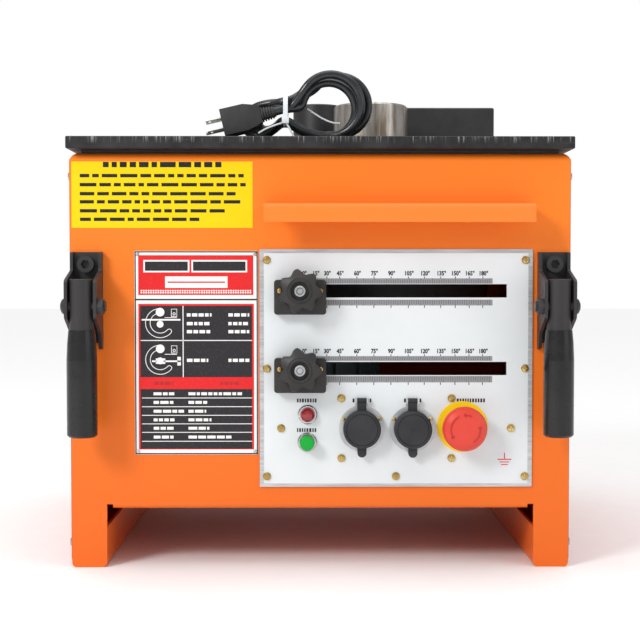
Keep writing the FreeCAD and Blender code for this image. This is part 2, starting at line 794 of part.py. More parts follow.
def gear_blank(teeth, module, z0, z1, axis, phase):
    """Spur gear with involute flanks, one tooth centred on the phase angle (radians)."""
    pressure = math.radians(PRESSURE_DEG)
    pitch = module * teeth / 2
    base = pitch * math.cos(pressure)
    tip = pitch + ADDENDUM * module
    root = pitch - DEDENDUM * module
    inv = math.tan(pressure) - pressure
    half = (math.pi / 2 - BACKLASH) / teeth + inv  # half tooth angle at the base circle
    flank = involute_points(base, max(base, root), tip, 4)
    outline = []
    for tooth in range(teeth):
        middle = phase + 2 * math.pi * tooth / teeth
        if root < base:
            outline.append((root, middle - half))
        outline += [(r, middle - half + turn) for r, turn in flank]
        outline += [(r, middle + half - turn) for r, turn in reversed(flank)]
        if root < base:
            outline.append((root, middle + half))
    points = [Vector(axis.x + r * math.cos(a), axis.y + r * math.sin(a), z0) for r, a in outline]
    return Part.Face(Part.makePolygon(points + points[:1])).extrude(Vector(0, 0, z1 - z0))


def heading(a, b):
    return math.atan2(b.y - a.y, b.x - a.x)


def driven_gear(stage, axis, pinion_axis, z0):
    """Large gear: a tooth space faces the pinion."""
    phase = heading(axis, pinion_axis) + math.pi / stage[1]
    return gear_blank(stage[1], stage[2], z0, z0 + stage[3], axis, phase)


def pinion(stage, axis, gear_axis, z0, extra=2.0):
    """Small gear, a little wider than its partner: a tooth faces the gear."""
    phase = heading(axis, gear_axis)
    return gear_blank(stage[0], stage[2], z0 - extra, z0 + stage[3] + extra, axis, phase)


def lighten(gear, axis, z0, z1, inner, outer, count):
    """Round openings through a gear's web."""
    radius = (outer - inner) / 2
    middle = (outer + inner) / 2
    tools = []
    for i in range(count):
        angle = 2 * math.pi * i / count
        x, y = axis.x + middle * math.cos(angle), axis.y + middle * math.sin(angle)
        tools.append(rod_z(radius, z0 - 1, z1 + 1, x, y))
    return cut(gear, *tools)


def final_gear():
    gear = driven_gear(FINAL_STAGE, HEAD, SECOND_AXIS, FINAL_Z)
    gear = cut(gear, rod_z(GEAR_SEAT_R, FINAL_Z - 1, FINAL_Z + FINAL_STAGE[3] + 1, HEAD_X, HEAD_Y))
    return lighten(gear, HEAD, FINAL_Z, FINAL_Z + FINAL_STAGE[3], 45.0, 95.0, 6)


def second_gear_shaft():
    axis = SECOND_AXIS
    gear = driven_gear(SECOND_STAGE, axis, FIRST_AXIS, SECOND_Z)
    gear = lighten(gear, axis, SECOND_Z, SECOND_Z + SECOND_STAGE[3], 28.0, 74.0, 6)
    shaft = rod_z(SECOND_R, FLOOR_BOTTOM + FIT, COVER_TOP, axis.x, axis.y)
    hub = rod_z(SECOND_R + 4, FLOOR_TOP + 2, FINAL_Z - 2, axis.x, axis.y)
    return fuse(gear, hub, pinion(FINAL_STAGE, axis, HEAD, FINAL_Z), shaft)


def first_gear_shaft():
    axis = FIRST_AXIS
    gear = driven_gear(FIRST_STAGE, axis, MOTOR_AXIS, FIRST_Z)
    shaft = rod_z(FIRST_R, FLOOR_BOTTOM + FIT, COVER_TOP, axis.x, axis.y)
    return fuse(gear, pinion(SECOND_STAGE, axis, SECOND_AXIS, SECOND_Z), shaft)


# ---------------------------------------------------------------- gearbox
def gear_reach(stage):
    return stage[2] * (stage[1] / 2 + ADDENDUM) + GEAR_CLEARANCE


def gearbox_rooms():
    """Axis and inner radius of each round room in the gearbox."""
    return [
        (HEAD, gear_reach(FINAL_STAGE)),
        (SECOND_AXIS, gear_reach(SECOND_STAGE)),
        (FIRST_AXIS, gear_reach(FIRST_STAGE)),
        (MOTOR_AXIS, FIRST_STAGE[2] * (FIRST_STAGE[0] / 2 + ADDENDUM) + GEAR_CLEARANCE),
    ]


def bearings():
    """Axis, shaft radius and the two heights of each bearing."""
    return [
        (HEAD, MAIN_R, COVER_BOTTOM, COVER_TOP),
        (HEAD, MAIN_LOWER_R, FLOOR_BOTTOM, FLOOR_TOP),
        (SECOND_AXIS, SECOND_R, COVER_BOTTOM, COVER_TOP),
        (SECOND_AXIS, SECOND_R, FLOOR_BOTTOM, FLOOR_TOP),
        (FIRST_AXIS, FIRST_R, COVER_BOTTOM, COVER_TOP),
        (FIRST_AXIS, FIRST_R, FLOOR_BOTTOM, FLOOR_TOP),
    ]


def bearing_bores(z0, z1):
    return [
        rod_z(r + BEARING_WALL, low - 1, high + 1, axis.x, axis.y)
        for axis, r, low, high in bearings()
        if low >= z0 and high <= z1
    ]


def gearbox_housing():
    rooms = gearbox_rooms()
    outer = [rod_z(r + GEARBOX_WALL, FLOOR_BOTTOM, COVER_BOTTOM, a.x, a.y) for a, r in rooms]
    inner = [rod_z(r, FLOOR_TOP, COVER_BOTTOM + 1, a.x, a.y) for a, r in rooms]
    housing = fuse(*outer)
    motor_hole = rod_z(rooms[3][1], FLOOR_BOTTOM - 1, FLOOR_TOP + 1, MOTOR_AXIS.x, MOTOR_AXIS.y)
    return cut(housing, fuse(*inner), motor_hole, *bearing_bores(FLOOR_BOTTOM, FLOOR_TOP))


def gearbox_cover():
    """Steel lid, welded to the four posts that hang the gearbox under the table."""
    rooms = gearbox_rooms()
    x0 = min(a.x - r for a, r in rooms) - GEARBOX_WALL
    x1 = max(a.x + r for a, r in rooms) + GEARBOX_WALL
    y0 = min(a.y - r for a, r in rooms) - GEARBOX_WALL
    y1 = max(a.y + r for a, r in rooms) + GEARBOX_WALL
    lid = plate_z(rectangle(x0, x1, y0, y1, 10.0), COVER_BOTTOM, COVER_TOP)
    inset = HANGER_R + 3.0
    posts = [
        rod_z(HANGER_R, COVER_TOP, TABLE_BOTTOM, x, y)
        for x in (x0 + inset, x1 - inset)
        for y in (y0 + inset, y1 - inset)
    ]
    return cut(fuse(lid, *posts), *bearing_bores(COVER_BOTTOM, COVER_TOP))


def gearbox_bearings():
    rings = []
    for axis, r, low, high in bearings():
        race = ring(r + BEARING_WALL, r + RUNNING, low, high, axis)
        middle = r + BEARING_WALL / 2
        groove = ring(middle + 2.5, middle - 2.5, high - 1.5, high + 1, axis)
        rings.append(cut(race, groove))
    return rings


# ---------------------------------------------------------------- motor
MOTOR_BOTTOM = FLOOR_BOTTOM - MOTOR_L
ROTOR_Z = MOTOR_BOTTOM + FAN_H + 22.0


def motor_housing():
    axis = MOTOR_AXIS
    shell = rod_z(MOTOR_R, MOTOR_BOTTOM, FLOOR_BOTTOM - 8, axis.x, axis.y)
    flange = rod_z(MOTOR_R + 5, FLOOR_BOTTOM - 8, FLOOR_BOTTOM, axis.x, axis.y)
    fins = []
    for i in range(16):
        fin = box(MOTOR_R - 2, MOTOR_R + 5, -1.5, 1.5, ROTOR_Z, FLOOR_BOTTOM - 8)
        fin.rotate(Vector(0, 0, 0), Vector(0, 0, 1), i * 22.5)
        fin.translate(axis)
        fins.append(fin)
    rotor_room = rod_z(ROTOR_R + 1, ROTOR_Z - 3, ROTOR_Z + ROTOR_L + 3, axis.x, axis.y)
    fan_room = rod_z(FAN_R + 3, MOTOR_BOTTOM + 4, MOTOR_BOTTOM + 4 + FAN_H + 6, axis.x, axis.y)
    shaft = rod_z(MOTOR_SHAFT_R + RUNNING, MOTOR_BOTTOM + 4, FLOOR_BOTTOM + 1, axis.x, axis.y)
    holes = []
    for i in range(8):
        angle = math.radians(45 * i)
        x, y = axis.x + 35 * math.cos(angle), axis.y + 35 * math.sin(angle)
        holes.append(rod_z(7.0, MOTOR_BOTTOM - 1, MOTOR_BOTTOM + 6, x, y))
    return cut(fuse(shell, flange, *fins), rotor_room, fan_room, shaft, *holes)


def motor_rotor():
    axis = MOTOR_AXIS
    core = rod_z(ROTOR_R, ROTOR_Z, ROTOR_Z + ROTOR_L, axis.x, axis.y)
    low = MOTOR_BOTTOM + 8
    high = FIRST_Z - 2
    shaft = rod_z(MOTOR_SHAFT_R, low, high, axis.x, axis.y)
    return fuse(core, shaft, pinion(FIRST_STAGE, axis, FIRST_AXIS, FIRST_Z, 1.0))


def motor_fan():
    axis = MOTOR_AXIS
    low = MOTOR_BOTTOM + 8
    blades = []
    for i in range(8):
        blade = box(10, FAN_R, -1.25, 1.25, low, low + FAN_H)
        blade.rotate(Vector(0, 0, 0), Vector(0, 0, 1), i * 45)
        blade.translate(axis)
        blades.append(blade)
    hub = rod_z(MOTOR_SHAFT_R + 6, low, low + FAN_H, axis.x, axis.y)
    back = rod_z(FAN_R, low + FAN_H - 2, low + FAN_H, axis.x, axis.y)
    bore = rod_z(MOTOR_SHAFT_R, low - 1, low + FAN_H + 1, axis.x, axis.y)
    return cut(fuse(hub, back, *blades), bore)


# ---------------------------------------------------------------- control panel
def slot_heights():
    return [PANEL_Z - drop for drop in SLOT_DROPS]


def control_panel():
    x0, x1 = PANEL_X, PANEL_X + PANEL_W
    z0, z1 = PANEL_Z - PANEL_H, PANEL_Z
    panel = plate_y(rectangle(x0, x1, z0, z1, 0.8), PANEL_FRONT, FRONT_Y)
    deep = (PANEL_FRONT - 1, FRONT_Y + 1)
    tools = panel_screw_holes()
    for z in slot_heights():
        tools.append(box(x0 + SLOT_START, x0 + SLOT_END, *deep, z - SLOT_H / 2, z + SLOT_H / 2))
    for at in (LAMP_AT, BUTTON_AT):
        x, z = panel_point(*at)
        tools.append(rod_y(SWITCH_BODY_R, *deep, x, z))
    for at in SOCKETS_AT:
        x, z = panel_point(*at)
        tools.append(rod_y(SOCKET_BACK_R, *deep, x, z))
    x, z = panel_point(*ESTOP_AT)
    tools.append(rod_y(ESTOP_BARREL_R, *deep, x, z))
    return cut(panel, *tools)


def panel_screws():
    """Pan-head screws with a cross recess."""
    screws = []
    for x, z in panel_screw_points():
        profile = [(0, 0), (SCREW_HEAD_R, 0), (SCREW_HEAD_R, 0.8)]
        profile += [(0.75 * SCREW_HEAD_R, SCREW_HEAD_H - 0.4)]
        profile += [(0.3 * SCREW_HEAD_R, SCREW_HEAD_H), (0, SCREW_HEAD_H)]
        head = turned(profile, Vector(x, PANEL_FRONT, z), Vector(0, -1, 0))
        shank = rod_y(SCREW_R, PANEL_FRONT, FRONT_Y + SHEET_T + 3, x, z)
        face = PANEL_FRONT - SCREW_HEAD_H
        cross = fuse(
            box(x - CROSS_L, x + CROSS_L, face - 1, face + CROSS_DEPTH, z - CROSS_W, z + CROSS_W),
            box(x - CROSS_W, x + CROSS_W, face - 1, face + CROSS_DEPTH, z - CROSS_L, z + CROSS_L),
        )
        screws.append(cut(fuse(head, shank), cross))
    return screws


def angle_slider(z):
    """Block in front of the panel, with a neck that runs in the slot."""
    x = PANEL_X + STOP_START
    back = PANEL_FRONT - GLIDE
    outline = rectangle(x - STOP_W / 2, x + STOP_W / 2, z - STOP_BELOW, z + STOP_ABOVE, 3.0)
    block = plate_y(outline, back - STOP_T, back)
    half = SLOT_H / 2 - GLIDE
    neck = box(x - STOP_NECK_W / 2, x + STOP_NECK_W / 2, back, FRONT_Y + GLIDE, z - half, z + half)
    stud = rod_y(STUD_R + RUNNING, back - STOP_T - 1, FRONT_Y + 2, x, z)
    return cut(fuse(block, neck), stud)


def slider_carrier(z):
    """Plate behind the panel, with the limit switch that the stop carries."""
    x = PANEL_X + STOP_START
    front = FRONT_Y + GLIDE
    plate = box(x - 23, x + 23, front, front + 3, z - 11, z + 11)
    switch = box(x - 14, x + 14, front + 3, front + 21, z - 9, z + 8)
    roller = rod_z(3.5, z - 4, z + 4, x + 8, front + 24)
    arm = box(x - 10, x + 8, front + 21, front + 22.5, z - 3, z + 3)
    stud = rod_y(STUD_R + RUNNING, front - 1, front + 15, x, z)
    return cut(fuse(plate, switch, roller, arm), stud)


def lobed_outline(x, y, z):
    """Smooth closed curve in the plane at y, with the knob's lobes."""
    count = 8 * KNOB_LOBES
    points = []
    for i in range(count):
        turn = 2 * math.pi * i / count
        r = KNOB_R - KNOB_VALLEY * (0.5 - 0.5 * math.cos(KNOB_LOBES * turn))
        angle = turn + math.radians(KNOB_TURN)
        points.append(Vector(x + r * math.cos(angle), y, z + r * math.sin(angle)))
    curve = Part.BSplineCurve()
    curve.interpolate(points, PeriodicFlag=True)
    return Part.Wire(curve.toShape())


def star_knob(z):
    """Seven-lobed clamping knob, dished towards its lobes, with its stud and the sleeve nut round it."""
    x = PANEL_X + STOP_START
    back = PANEL_FRONT - GLIDE - STOP_T - GLIDE
    front = back - KNOB_H
    foot = back - KNOB_NECK_L
    outward = Vector(0, -1, 0)
    depth = foot - front - 1.5
    lobes = Part.Face(lobed_outline(x, foot, z)).extrude(outward * (depth + 1))
    cone = turned(
        [(0, 0), (KNOB_R + 1, 0), (KNOB_R + 1, depth - 5.5), (KNOB_HUB_R + 1, depth), (0, depth)],
        Vector(x, foot, z),
        outward,
    )
    star = lobes.common(cone)
    across = 2 * (KNOB_R - KNOB_VALLEY)
    rim = [edge for edge in star.Edges if edge.BoundBox.XLength > across and edge.BoundBox.YMin < foot - 3]
    star = star.makeFillet(2.0, rim)
    hub = turned(
        [(0, 0), (KNOB_HUB_R, 0), (KNOB_HUB_R, depth + 0.5), (KNOB_HUB_R - 1, depth + 1.5), (0, depth + 1.5)],
        Vector(x, foot, z),
        outward,
    )
    neck = rod_y(KNOB_HUB_R, foot, back, x, z)
    body = cut(fuse(star, hub, neck), rod_y(KNOB_HUB_R - 2.6, front - 1, front + 4.5, x, z))
    nut = rod_y(KNOB_NUT_R, front + 1, front + 5, x, z)
    nut = cut(nut, rod_y(KNOB_NUT_R - 2.4, front, front + 4, x, z))
    stud = rod_y(STUD_R, back, FRONT_Y + GLIDE + 12, x, z)
    return fuse(body, nut, stud)


def lamp_lens():
    x, z = panel_point(*LAMP_AT)
    face = PANEL_FRONT - BEZEL_H
    dome = turned(
        [(0, -2), (LENS_R, -2), (LENS_R, 1.5), (6.6, 4.2), (4.6, 6.2), (2.3, LENS_H), (0, LENS_H)],
        Vector(x, face, z),
        Vector(0, -1, 0),
    )
    return dome


def bezel(at, seat_r, seat_depth):
    x, z = panel_point(*at)
    profile = [
        (0, -SWITCH_DEPTH),
        (SWITCH_BODY_R, -SWITCH_DEPTH),
        (SWITCH_BODY_R, 0),
        (BEZEL_R, 0),
        (BEZEL_R, BEZEL_H - 1),
        (BEZEL_R - 1, BEZEL_H),
        (seat_r, BEZEL_H),
        (seat_r, BEZEL_H - seat_depth),
        (0, BEZEL_H - seat_depth),
    ]
    return turned(profile, Vector(x, PANEL_FRONT, z), Vector(0, -1, 0))


def switch_bezels():
    return [bezel(LAMP_AT, LENS_R, 2.0), bezel(BUTTON_AT, BUTTON_R + GLIDE, 14.0)]


def start_button():
    x, z = panel_point(*BUTTON_AT)
    profile = [
        (0, -(14.0 - BEZEL_H - BUTTON_TRAVEL - 1)),
        (BUTTON_R, -(14.0 - BEZEL_H - BUTTON_TRAVEL - 1)),
        (BUTTON_R, BUTTON_OUT - 1),
        (BUTTON_R - 1, BUTTON_OUT),
        (0, BUTTON_OUT),
    ]
    return turned(profile, Vector(x, PANEL_FRONT, z), Vector(0, -1, 0))


def socket_flange(at):
    """Flange, barrel under the cap, body behind the panel, and the eyes that hold the cap's strap."""
    x, z = panel_point(*at)
    tip_r = SOCKET_BARREL_R - SOCKET_BARREL_TAPER
    profile = [
        (0, -SOCKET_BACK_L),
        (SOCKET_BACK_R, -SOCKET_BACK_L),
        (SOCKET_BACK_R, 0),
        (SOCKET_FLANGE_R, 0),
        (SOCKET_FLANGE_R, SOCKET_FLANGE_T),
        (SOCKET_BARREL_R, SOCKET_FLANGE_T),
        (tip_r, SOCKET_FLANGE_T + SOCKET_BARREL_H),
        (tip_r - SOCKET_WALL, SOCKET_FLANGE_T + SOCKET_BARREL_H),
        (tip_r - SOCKET_WALL, 1.0),
        (0, 1.0),
    ]
    body = turned(profile, Vector(x, PANEL_FRONT, z), Vector(0, -1, 0))
    pins = []
    for side in (-1, 1):
        pin = rod_y(1.8, PANEL_FRONT - SOCKET_FLANGE_T - 7, PANEL_FRONT - 0.5, x + side * 5.0, z)
        pins.append(pin)
    eye_z = z + STRAP_UP
    eyes = []
    for side in (-1, 1):
        inner = STRAP_W / 2 + GLIDE
        x0, x1 = sorted((x + side * inner, x + side * (inner + 1.8)))
        eyes.append(box(x0, x1, PANEL_FRONT - HINGE_OUT - 2, PANEL_FRONT, eye_z - 2.5, eye_z + 2.5))
    stem = box(x - inner - 1.8, x + inner + 1.8, PANEL_FRONT - 0.8, PANEL_FRONT, z + 15, eye_z + 2.5)
    pin = rod_x(HINGE_R, x - inner - 0.5, x + inner + 0.5, PANEL_FRONT - HINGE_OUT, eye_z)
    return fuse(body, *pins, *eyes, stem, pin)


def socket_cap(at):
    """Rubber dust cap with its strap up to the hinge and its pull tab down."""
    x, z = panel_point(*at)
    inside_r = SOCKET_BARREL_R + GLIDE
    low = SOCKET_FLANGE_T + GLIDE
    end = SOCKET_FLANGE_T + SOCKET_BARREL_H + GLIDE
    profile = [
        (inside_r, low),
        (CAP_R, low),
        (CAP_R, end + CAP_END_T - 1.5),
        (CAP_R - 1.5, end + CAP_END_T),
        (CAP_GROOVE_R + 0.5, end + CAP_END_T),
        (CAP_GROOVE_R, end + CAP_END_T - 0.6),
        (CAP_GROOVE_R - 0.5, end + CAP_END_T),
        (1.2, end + CAP_END_T),
        (0.9, end + CAP_END_T + 0.5),
        (0, end + CAP_END_T + 0.5),
        (0, end),
        (inside_r, end),
    ]
    cap = turned(profile, Vector(x, PANEL_FRONT, z), Vector(0, -1, 0))
    half = STRAP_W / 2
    hinge_y = PANEL_FRONT - HINGE_OUT
    hinge_z = z + STRAP_UP
    knuckle = rod_x(2.4, x - half, x + half, hinge_y, hinge_z)
    strap = box(x - half, x + half, hinge_y - STRAP_T / 2, hinge_y + STRAP_T / 2, z + inside_r + 0.5, hinge_z)
    tab = plate_y(
        [
            (x - half, z - inside_r - 0.5, 0),
            (x + half, z - inside_r - 0.5, 0),
            (x + half, z - TAB_DOWN, half - 0.1),
            (x - half, z - TAB_DOWN, half - 0.1),
        ],
        PANEL_FRONT - 9.0,
        PANEL_FRONT - 6.0,
    )
    bore = rod_x(HINGE_R + RUNNING, x - half - 1, x + half + 1, hinge_y, hinge_z)
    return cut(fuse(cap, knuckle, strap, tab), bore)


def stop_base():
    """Yellow ring, barrel and contact block of the emergency stop."""
    x, z = panel_point(*ESTOP_AT)
    profile = [
        (ESTOP_STEM_R + RUNNING, -ESTOP_COLLAR_H - 3),
        (ESTOP_BARREL_R, -ESTOP_COLLAR_H - 3),
        (ESTOP_BARREL_R, 0),
        (ESTOP_RING_R, 0),
        (ESTOP_RING_R, ESTOP_RING_T),
        (ESTOP_COLLAR_R, ESTOP_RING_T),
        (ESTOP_COLLAR_R, ESTOP_COLLAR_H),
        (ESTOP_STEM_R + RUNNING, ESTOP_COLLAR_H),
    ]
    barrel = turned(profile, Vector(x, PANEL_FRONT, z), Vector(0, -1, 0))
    back = PANEL_FRONT + ESTOP_COLLAR_H + 3
    block = box(x - 15, x + 15, back, back + 20, z - 18, z + 18)
    pocket = rod_y(ESTOP_STEM_R + 1, back - 1, back + 12, x, z)
    return fuse(barrel, cut(block, pocket))


def stop_stem():
    x, z = panel_point(*ESTOP_AT)
    collar = PANEL_FRONT - ESTOP_COLLAR_H
    rear = PANEL_FRONT + ESTOP_COLLAR_H + 8.0
    return rod_y(ESTOP_STEM_R, collar - 12.0, rear, x, z)


def stop_head():
    """Mushroom head; its bore turns on the stem."""
    x, z = panel_point(*ESTOP_AT)
    reach = ESTOP_HEAD_OUT
    low = ESTOP_COLLAR_H + ESTOP_TRAVEL + 1.0
    bore_r = ESTOP_STEM_R + RUNNING
    bore_end = ESTOP_COLLAR_H + 12.0 + GLIDE
    profile = [
        (bore_r, low),
        (16.5, low),
        (ESTOP_HEAD_R - 1.5, low + 2.5),
        (ESTOP_HEAD_R, low + 4.5),
        (ESTOP_HEAD_R, reach - 6.0),
        (ESTOP_HEAD_R - 2.0, reach - 2.5),
        (ESTOP_HEAD_R - 6.0, reach - 0.6),
        (ESTOP_HEAD_R - 11.0, reach),
        (0, reach),
        (0, bore_end),
        (bore_r, bore_end),
    ]
    return turned(profile, Vector(x, PANEL_FRONT, z), Vector(0, -1, 0))


def electrical_box():
    """Tray behind the switches, its flange screwed to the control panel."""
    x0, x1, z0, z1 = ebox_outline()
    flange = box(x0, x1, FRONT_Y, FRONT_Y + EBOX_T, z0, z1)
    bx0, bx1 = x0 + EBOX_FLANGE, x1 - EBOX_FLANGE
    bz0, bz1 = z0 + EBOX_FLANGE, z1 - EBOX_FLANGE
    shell = box(bx0, bx1, FRONT_Y, FRONT_Y + EBOX_DEPTH, bz0, bz1)
    room_back = FRONT_Y + EBOX_DEPTH - EBOX_T
    room = box(bx0 + EBOX_T, bx1 - EBOX_T, FRONT_Y - 1, room_back, bz0 + EBOX_T, bz1 - EBOX_T)
    return cut(fuse(flange, shell), room, *panel_screw_holes())


def rating_plate():
    x1 = PANEL_X - RATING_GAP
    z1 = BODY_H - RATING_DROP
    outline = rectangle(x1 - RATING_W, x1, z1 - RATING_H, z1, 1.0)
    return plate_y(outline, FRONT_Y - RATING_T, FRONT_Y)


# ---------------------------------------------------------------- carrying handles
def all_corners(shape):
    """The front left piece, and its copies: front right, rear left, rear right."""
    return [shape, flip_x(shape), flip_y(shape), flip_x(flip_y(shape))]


def handle_bracket():
    """Folded channel: a base on the panel and two ears that hold the pivot."""
    x0, x1 = -HANDLE_X - BRACKET_W / 2, -HANDLE_X + BRACKET_W / 2
    low = BRACKET_TOP - BRACKET_L
    ear = [
        (FRONT_Y, BRACKET_TOP, 0),
        (FRONT_Y - 10.0, BRACKET_TOP, 2.0),
        (FRONT_Y - 10.0, BRACKET_TOP - 18.0, 3.0),
        (FRONT_Y - EAR_OUT, BRACKET_TOP - 28.0, 4.0),
        (FRONT_Y - EAR_OUT, PIVOT_Z - 11.0, 6.0),
        (FRONT_Y - 14.0, PIVOT_Z - 26.0, 8.0),
        (FRONT_Y - 9.0, low, 3.0),
        (FRONT_Y, low, 0),
    ]
    ears = [plate_x(ear, x0, x0 + BRACKET_T), plate_x(ear, x1 - BRACKET_T, x1)]
    base = box(x0, x1, FRONT_Y - BRACKET_T, FRONT_Y, low + 6, BRACKET_TOP)
    bolt = rod_y(BRACKET_BOLT_R, FRONT_Y - 12, FRONT_Y + 1, -HANDLE_X, BRACKET_TOP - BRACKET_BOLT_DROP)
    pivot = rod_x(PIVOT_R, x0 - 1, x1 + 1, LEVER_Y, PIVOT_Z)
    return cut(fuse(base, *ears), bolt, pivot)


def hexagon(x, z, across, turn=0.0):
    r = across / 2 / math.cos(math.pi / 6)
    angles = [math.radians(60 * i + turn) for i in range(6)]
    return [(x + r * math.cos(a), z + r * math.sin(a), 0) for a in angles]


def bracket_bolt():
    """Socket head screw with its nut inside the body."""
    x, z = -HANDLE_X, BRACKET_TOP - BRACKET_BOLT_DROP
    seat = FRONT_Y - BRACKET_T
    head = rod_y(8.2, seat - 9.0, seat, x, z)
    shank = rod_y(BRACKET_BOLT_R, seat, FRONT_Y + SHEET_T + 9.0, x, z)
    nut = plate_y(hexagon(x, z, 16.0), FRONT_Y + SHEET_T, FRONT_Y + SHEET_T + 7.0)
    socket = plate_y(hexagon(x, z, 8.0), seat - 10.0, seat - 4.0)
    return cut(fuse(head, shank, nut), socket)


def handle_pivot():
    """Round-headed pivot bolt, its nut on the inner side."""
    x0, x1 = -HANDLE_X - BRACKET_W / 2, -HANDLE_X + BRACKET_W / 2
    shank = rod_x(PIVOT_R, x0, x1 + 8.0, LEVER_Y, PIVOT_Z)
    head = turned(
        [(0, 0), (8.2, 0), (8.2, 1.0), (6.6, 3.2), (3.6, 4.6), (0, 5.0)],
        Vector(x0, LEVER_Y, PIVOT_Z),
        Vector(-1, 0, 0),
    )
    nut = plate_x(hexagon(LEVER_Y, PIVOT_Z, 15.0), x1, x1 + 6.0)
    return fuse(shank, head, nut)


def grip_profile(offset):
    """Outer line of the lever below the pivot, (radius, height), moved out by offset."""
    slim = LEVER_R + offset
    full = GRIP_R - GRIP_T + offset
    return [(slim, PIVOT_Z - 12.0), (full - 0.7, PIVOT_Z - 36.0), (full, PIVOT_Z - 52.0)]


def lever():
    """Tube that turns on the pivot, swaged wider where the hand holds it."""
    end = PIVOT_Z - GRIP_END_DROP + 3.0
    outer = [(LEVER_R - 0.8, PIVOT_Z + LEVER_STUB), (LEVER_R, PIVOT_Z + LEVER_STUB - 0.8)]
    outer += grip_profile(0.0)
    full = GRIP_R - GRIP_T
    inner = [(full - LEVER_T, end), (full - LEVER_T, PIVOT_Z - 52.0), (LEVER_R - LEVER_T, PIVOT_Z - 14.0)]
    inner += [(LEVER_R - LEVER_T, PIVOT_Z + LEVER_STUB)]
    tube = turned(outer + [(full, end)] + inner, Vector(-HANDLE_X, LEVER_Y, 0))
    bore = rod_x(PIVOT_R + RUNNING, -HANDLE_X - 20, -HANDLE_X + 20, LEVER_Y, PIVOT_Z)
    return cut(tube, bore)


def grip():
    """Dipped vinyl sleeve, closed at its end."""
    end = PIVOT_Z - GRIP_END_DROP
    start = PIVOT_Z - GRIP_DROP
    (slim_r, slim_z), (mid_r, mid_z), (full_r, full_z) = grip_profile(0.0)
    at_start = slim_r + (mid_r - slim_r) * (slim_z - start) / (slim_z - mid_z)
    inner = [(at_start, start), (mid_r, mid_z), (full_r, full_z), (full_r, end + 3.0), (0, end + 3.0)]
    outer = [(0, end), (GRIP_R - 2.0, end), (GRIP_R, end + 2.0), (GRIP_R, full_z)]
    outer += [(mid_r + GRIP_T, mid_z), (at_start + 0.9, start)]
    return turned(inner + outer, Vector(-HANDLE_X, LEVER_Y, 0))


# ---------------------------------------------------------------- power cord
# The lead leaves the rear gland, hangs in a loop, comes over the table's rear edge and lies along
# the table to the hank near the front edge.
CORD_LOOP = [
    (-60, 241, 230),
    (-61, 283, 230),
    (-66, 311, 201),
    (-79, 316, 158),
    (-104, 310, 120),
    (-147, 301, 112),
    (-178, 291, 145),
    (-183, 279, 192),
    (-181, 265, 246),
    (-178, 255, 302),
    (-175, 250, 358),
]
CORD_OVER = [  # the last value is the height above the table
    (-174, 249, -20),
    (-173, 247, 17),
    (-172, 218, 41),
    (-171, 177, 38),
    (-169, 134, 20),
    (-166, 88, 8),
    (-163, 36, 4.6),
    (-160, -16, 4.4),
    (-149, -63, 4.4),
    (-122, -97, 4.4),
    (-80, -112, 4.6),
    (-38, -122, 6),
    (-8, -142, 8),
    (8, -158, 8),
]
CORD_ROUTE = CORD_LOOP + [(x, y, TABLE_TOP + up) for x, y, up in CORD_OVER]

# Outer shape of the tied hank: a narrow tied end on the left, an upright ring of turns on the right.
HANK_Y0 = -203.0
HANK_Y1 = -150.0
HANK_RING = (10.0, TABLE_TOP + 33.0, 41.5)
HANK_LEFT = -46.0
HANK_TIE = -35.0
HANK_TAIL = (-82.0, -169.0, -133.0)  # folds behind the plug: how far left, their front and their back


def route_radius(a, b, c):
    """Radius of the arc at b: 0.45 of the shorter run, over the tangent of half the turn."""
    first = b - a
    second = c - b
    half = first.getAngle(second) / 2
    return 0.45 * min(first.Length, second.Length) / math.tan(half)


def cord_path():
    points = [Vector(*point) for point in CORD_ROUTE]
    edges = []
    here = points[0]
    length = 0.0
    radii = []
    for a, b, c in zip(points, points[1:], points[2:]):
        into = (b - a).normalize()
        out = (c - b).normalize()
        half = into.getAngle(out) / 2
        radius = route_radius(a, b, c)
        radii.append(radius)
        reach = radius * math.tan(half)
        start = b - into * reach
        end = b + out * reach
        middle = b + (out - into).normalize() * (radius / math.cos(half) - radius)
        edges.append(Part.LineSegment(here, start).toShape())
        edges.append(Part.Arc(start, middle, end).toShape())
        here = end
    edges.append(Part.LineSegment(here, points[-1]).toShape())
    wire = Part.Wire(edges)
    print("cord radii, mm:", [round(radius, 1) for radius in radii])
    return wire


def power_cord():
    path = cord_path()
    start = Vector(*CORD_ROUTE[0])
    section = Part.Wire(Part.makeCircle(CORD_R, start, Vector(*CORD_ROUTE[1]) - start))
    tube = path.makePipeShell([section], True, False, 2)
    expected = math.pi * CORD_R**2 * path.Length
    print(f"cord length {path.Length:.0f} mm, volume {tube.Volume:.0f}, section times length {expected:.0f}")
    return cut(tube, cord_hank())


def cord_hank():
    x, z, r = HANK_RING
    turns = rod_y(r, HANK_Y0, HANK_Y1, x, z)
    skirt = plate_y(
        [
            (HANK_LEFT, TABLE_TOP, 0),
            (x + r * 0.75, TABLE_TOP, 6.0),
            (x + r * 0.75, z, 0),
            (x, z + 6, 0),
            (HANK_TIE, TABLE_TOP + 40, 10.0),
            (HANK_LEFT, TABLE_TOP + 36, 8.0),
        ],
        HANK_Y0 + 6,
        HANK_Y1 - 4,
    )
    left, front, back = HANK_TAIL
    tail = plate_y(
        [
            (left, TABLE_TOP, 0),
            (HANK_LEFT + 1, TABLE_TOP, 0),
            (HANK_LEFT + 1, TABLE_TOP + 38, 0),
            (left, TABLE_TOP + 33, 8.0),
        ],
        front,
        back,
    )
    hank = fuse(turns, skirt, tail)
    return cut(hank, box(x - 90, x + 90, HANK_Y0 - 1, HANK_Y1 + 1, TABLE_TOP - 60, TABLE_TOP), plug_body())


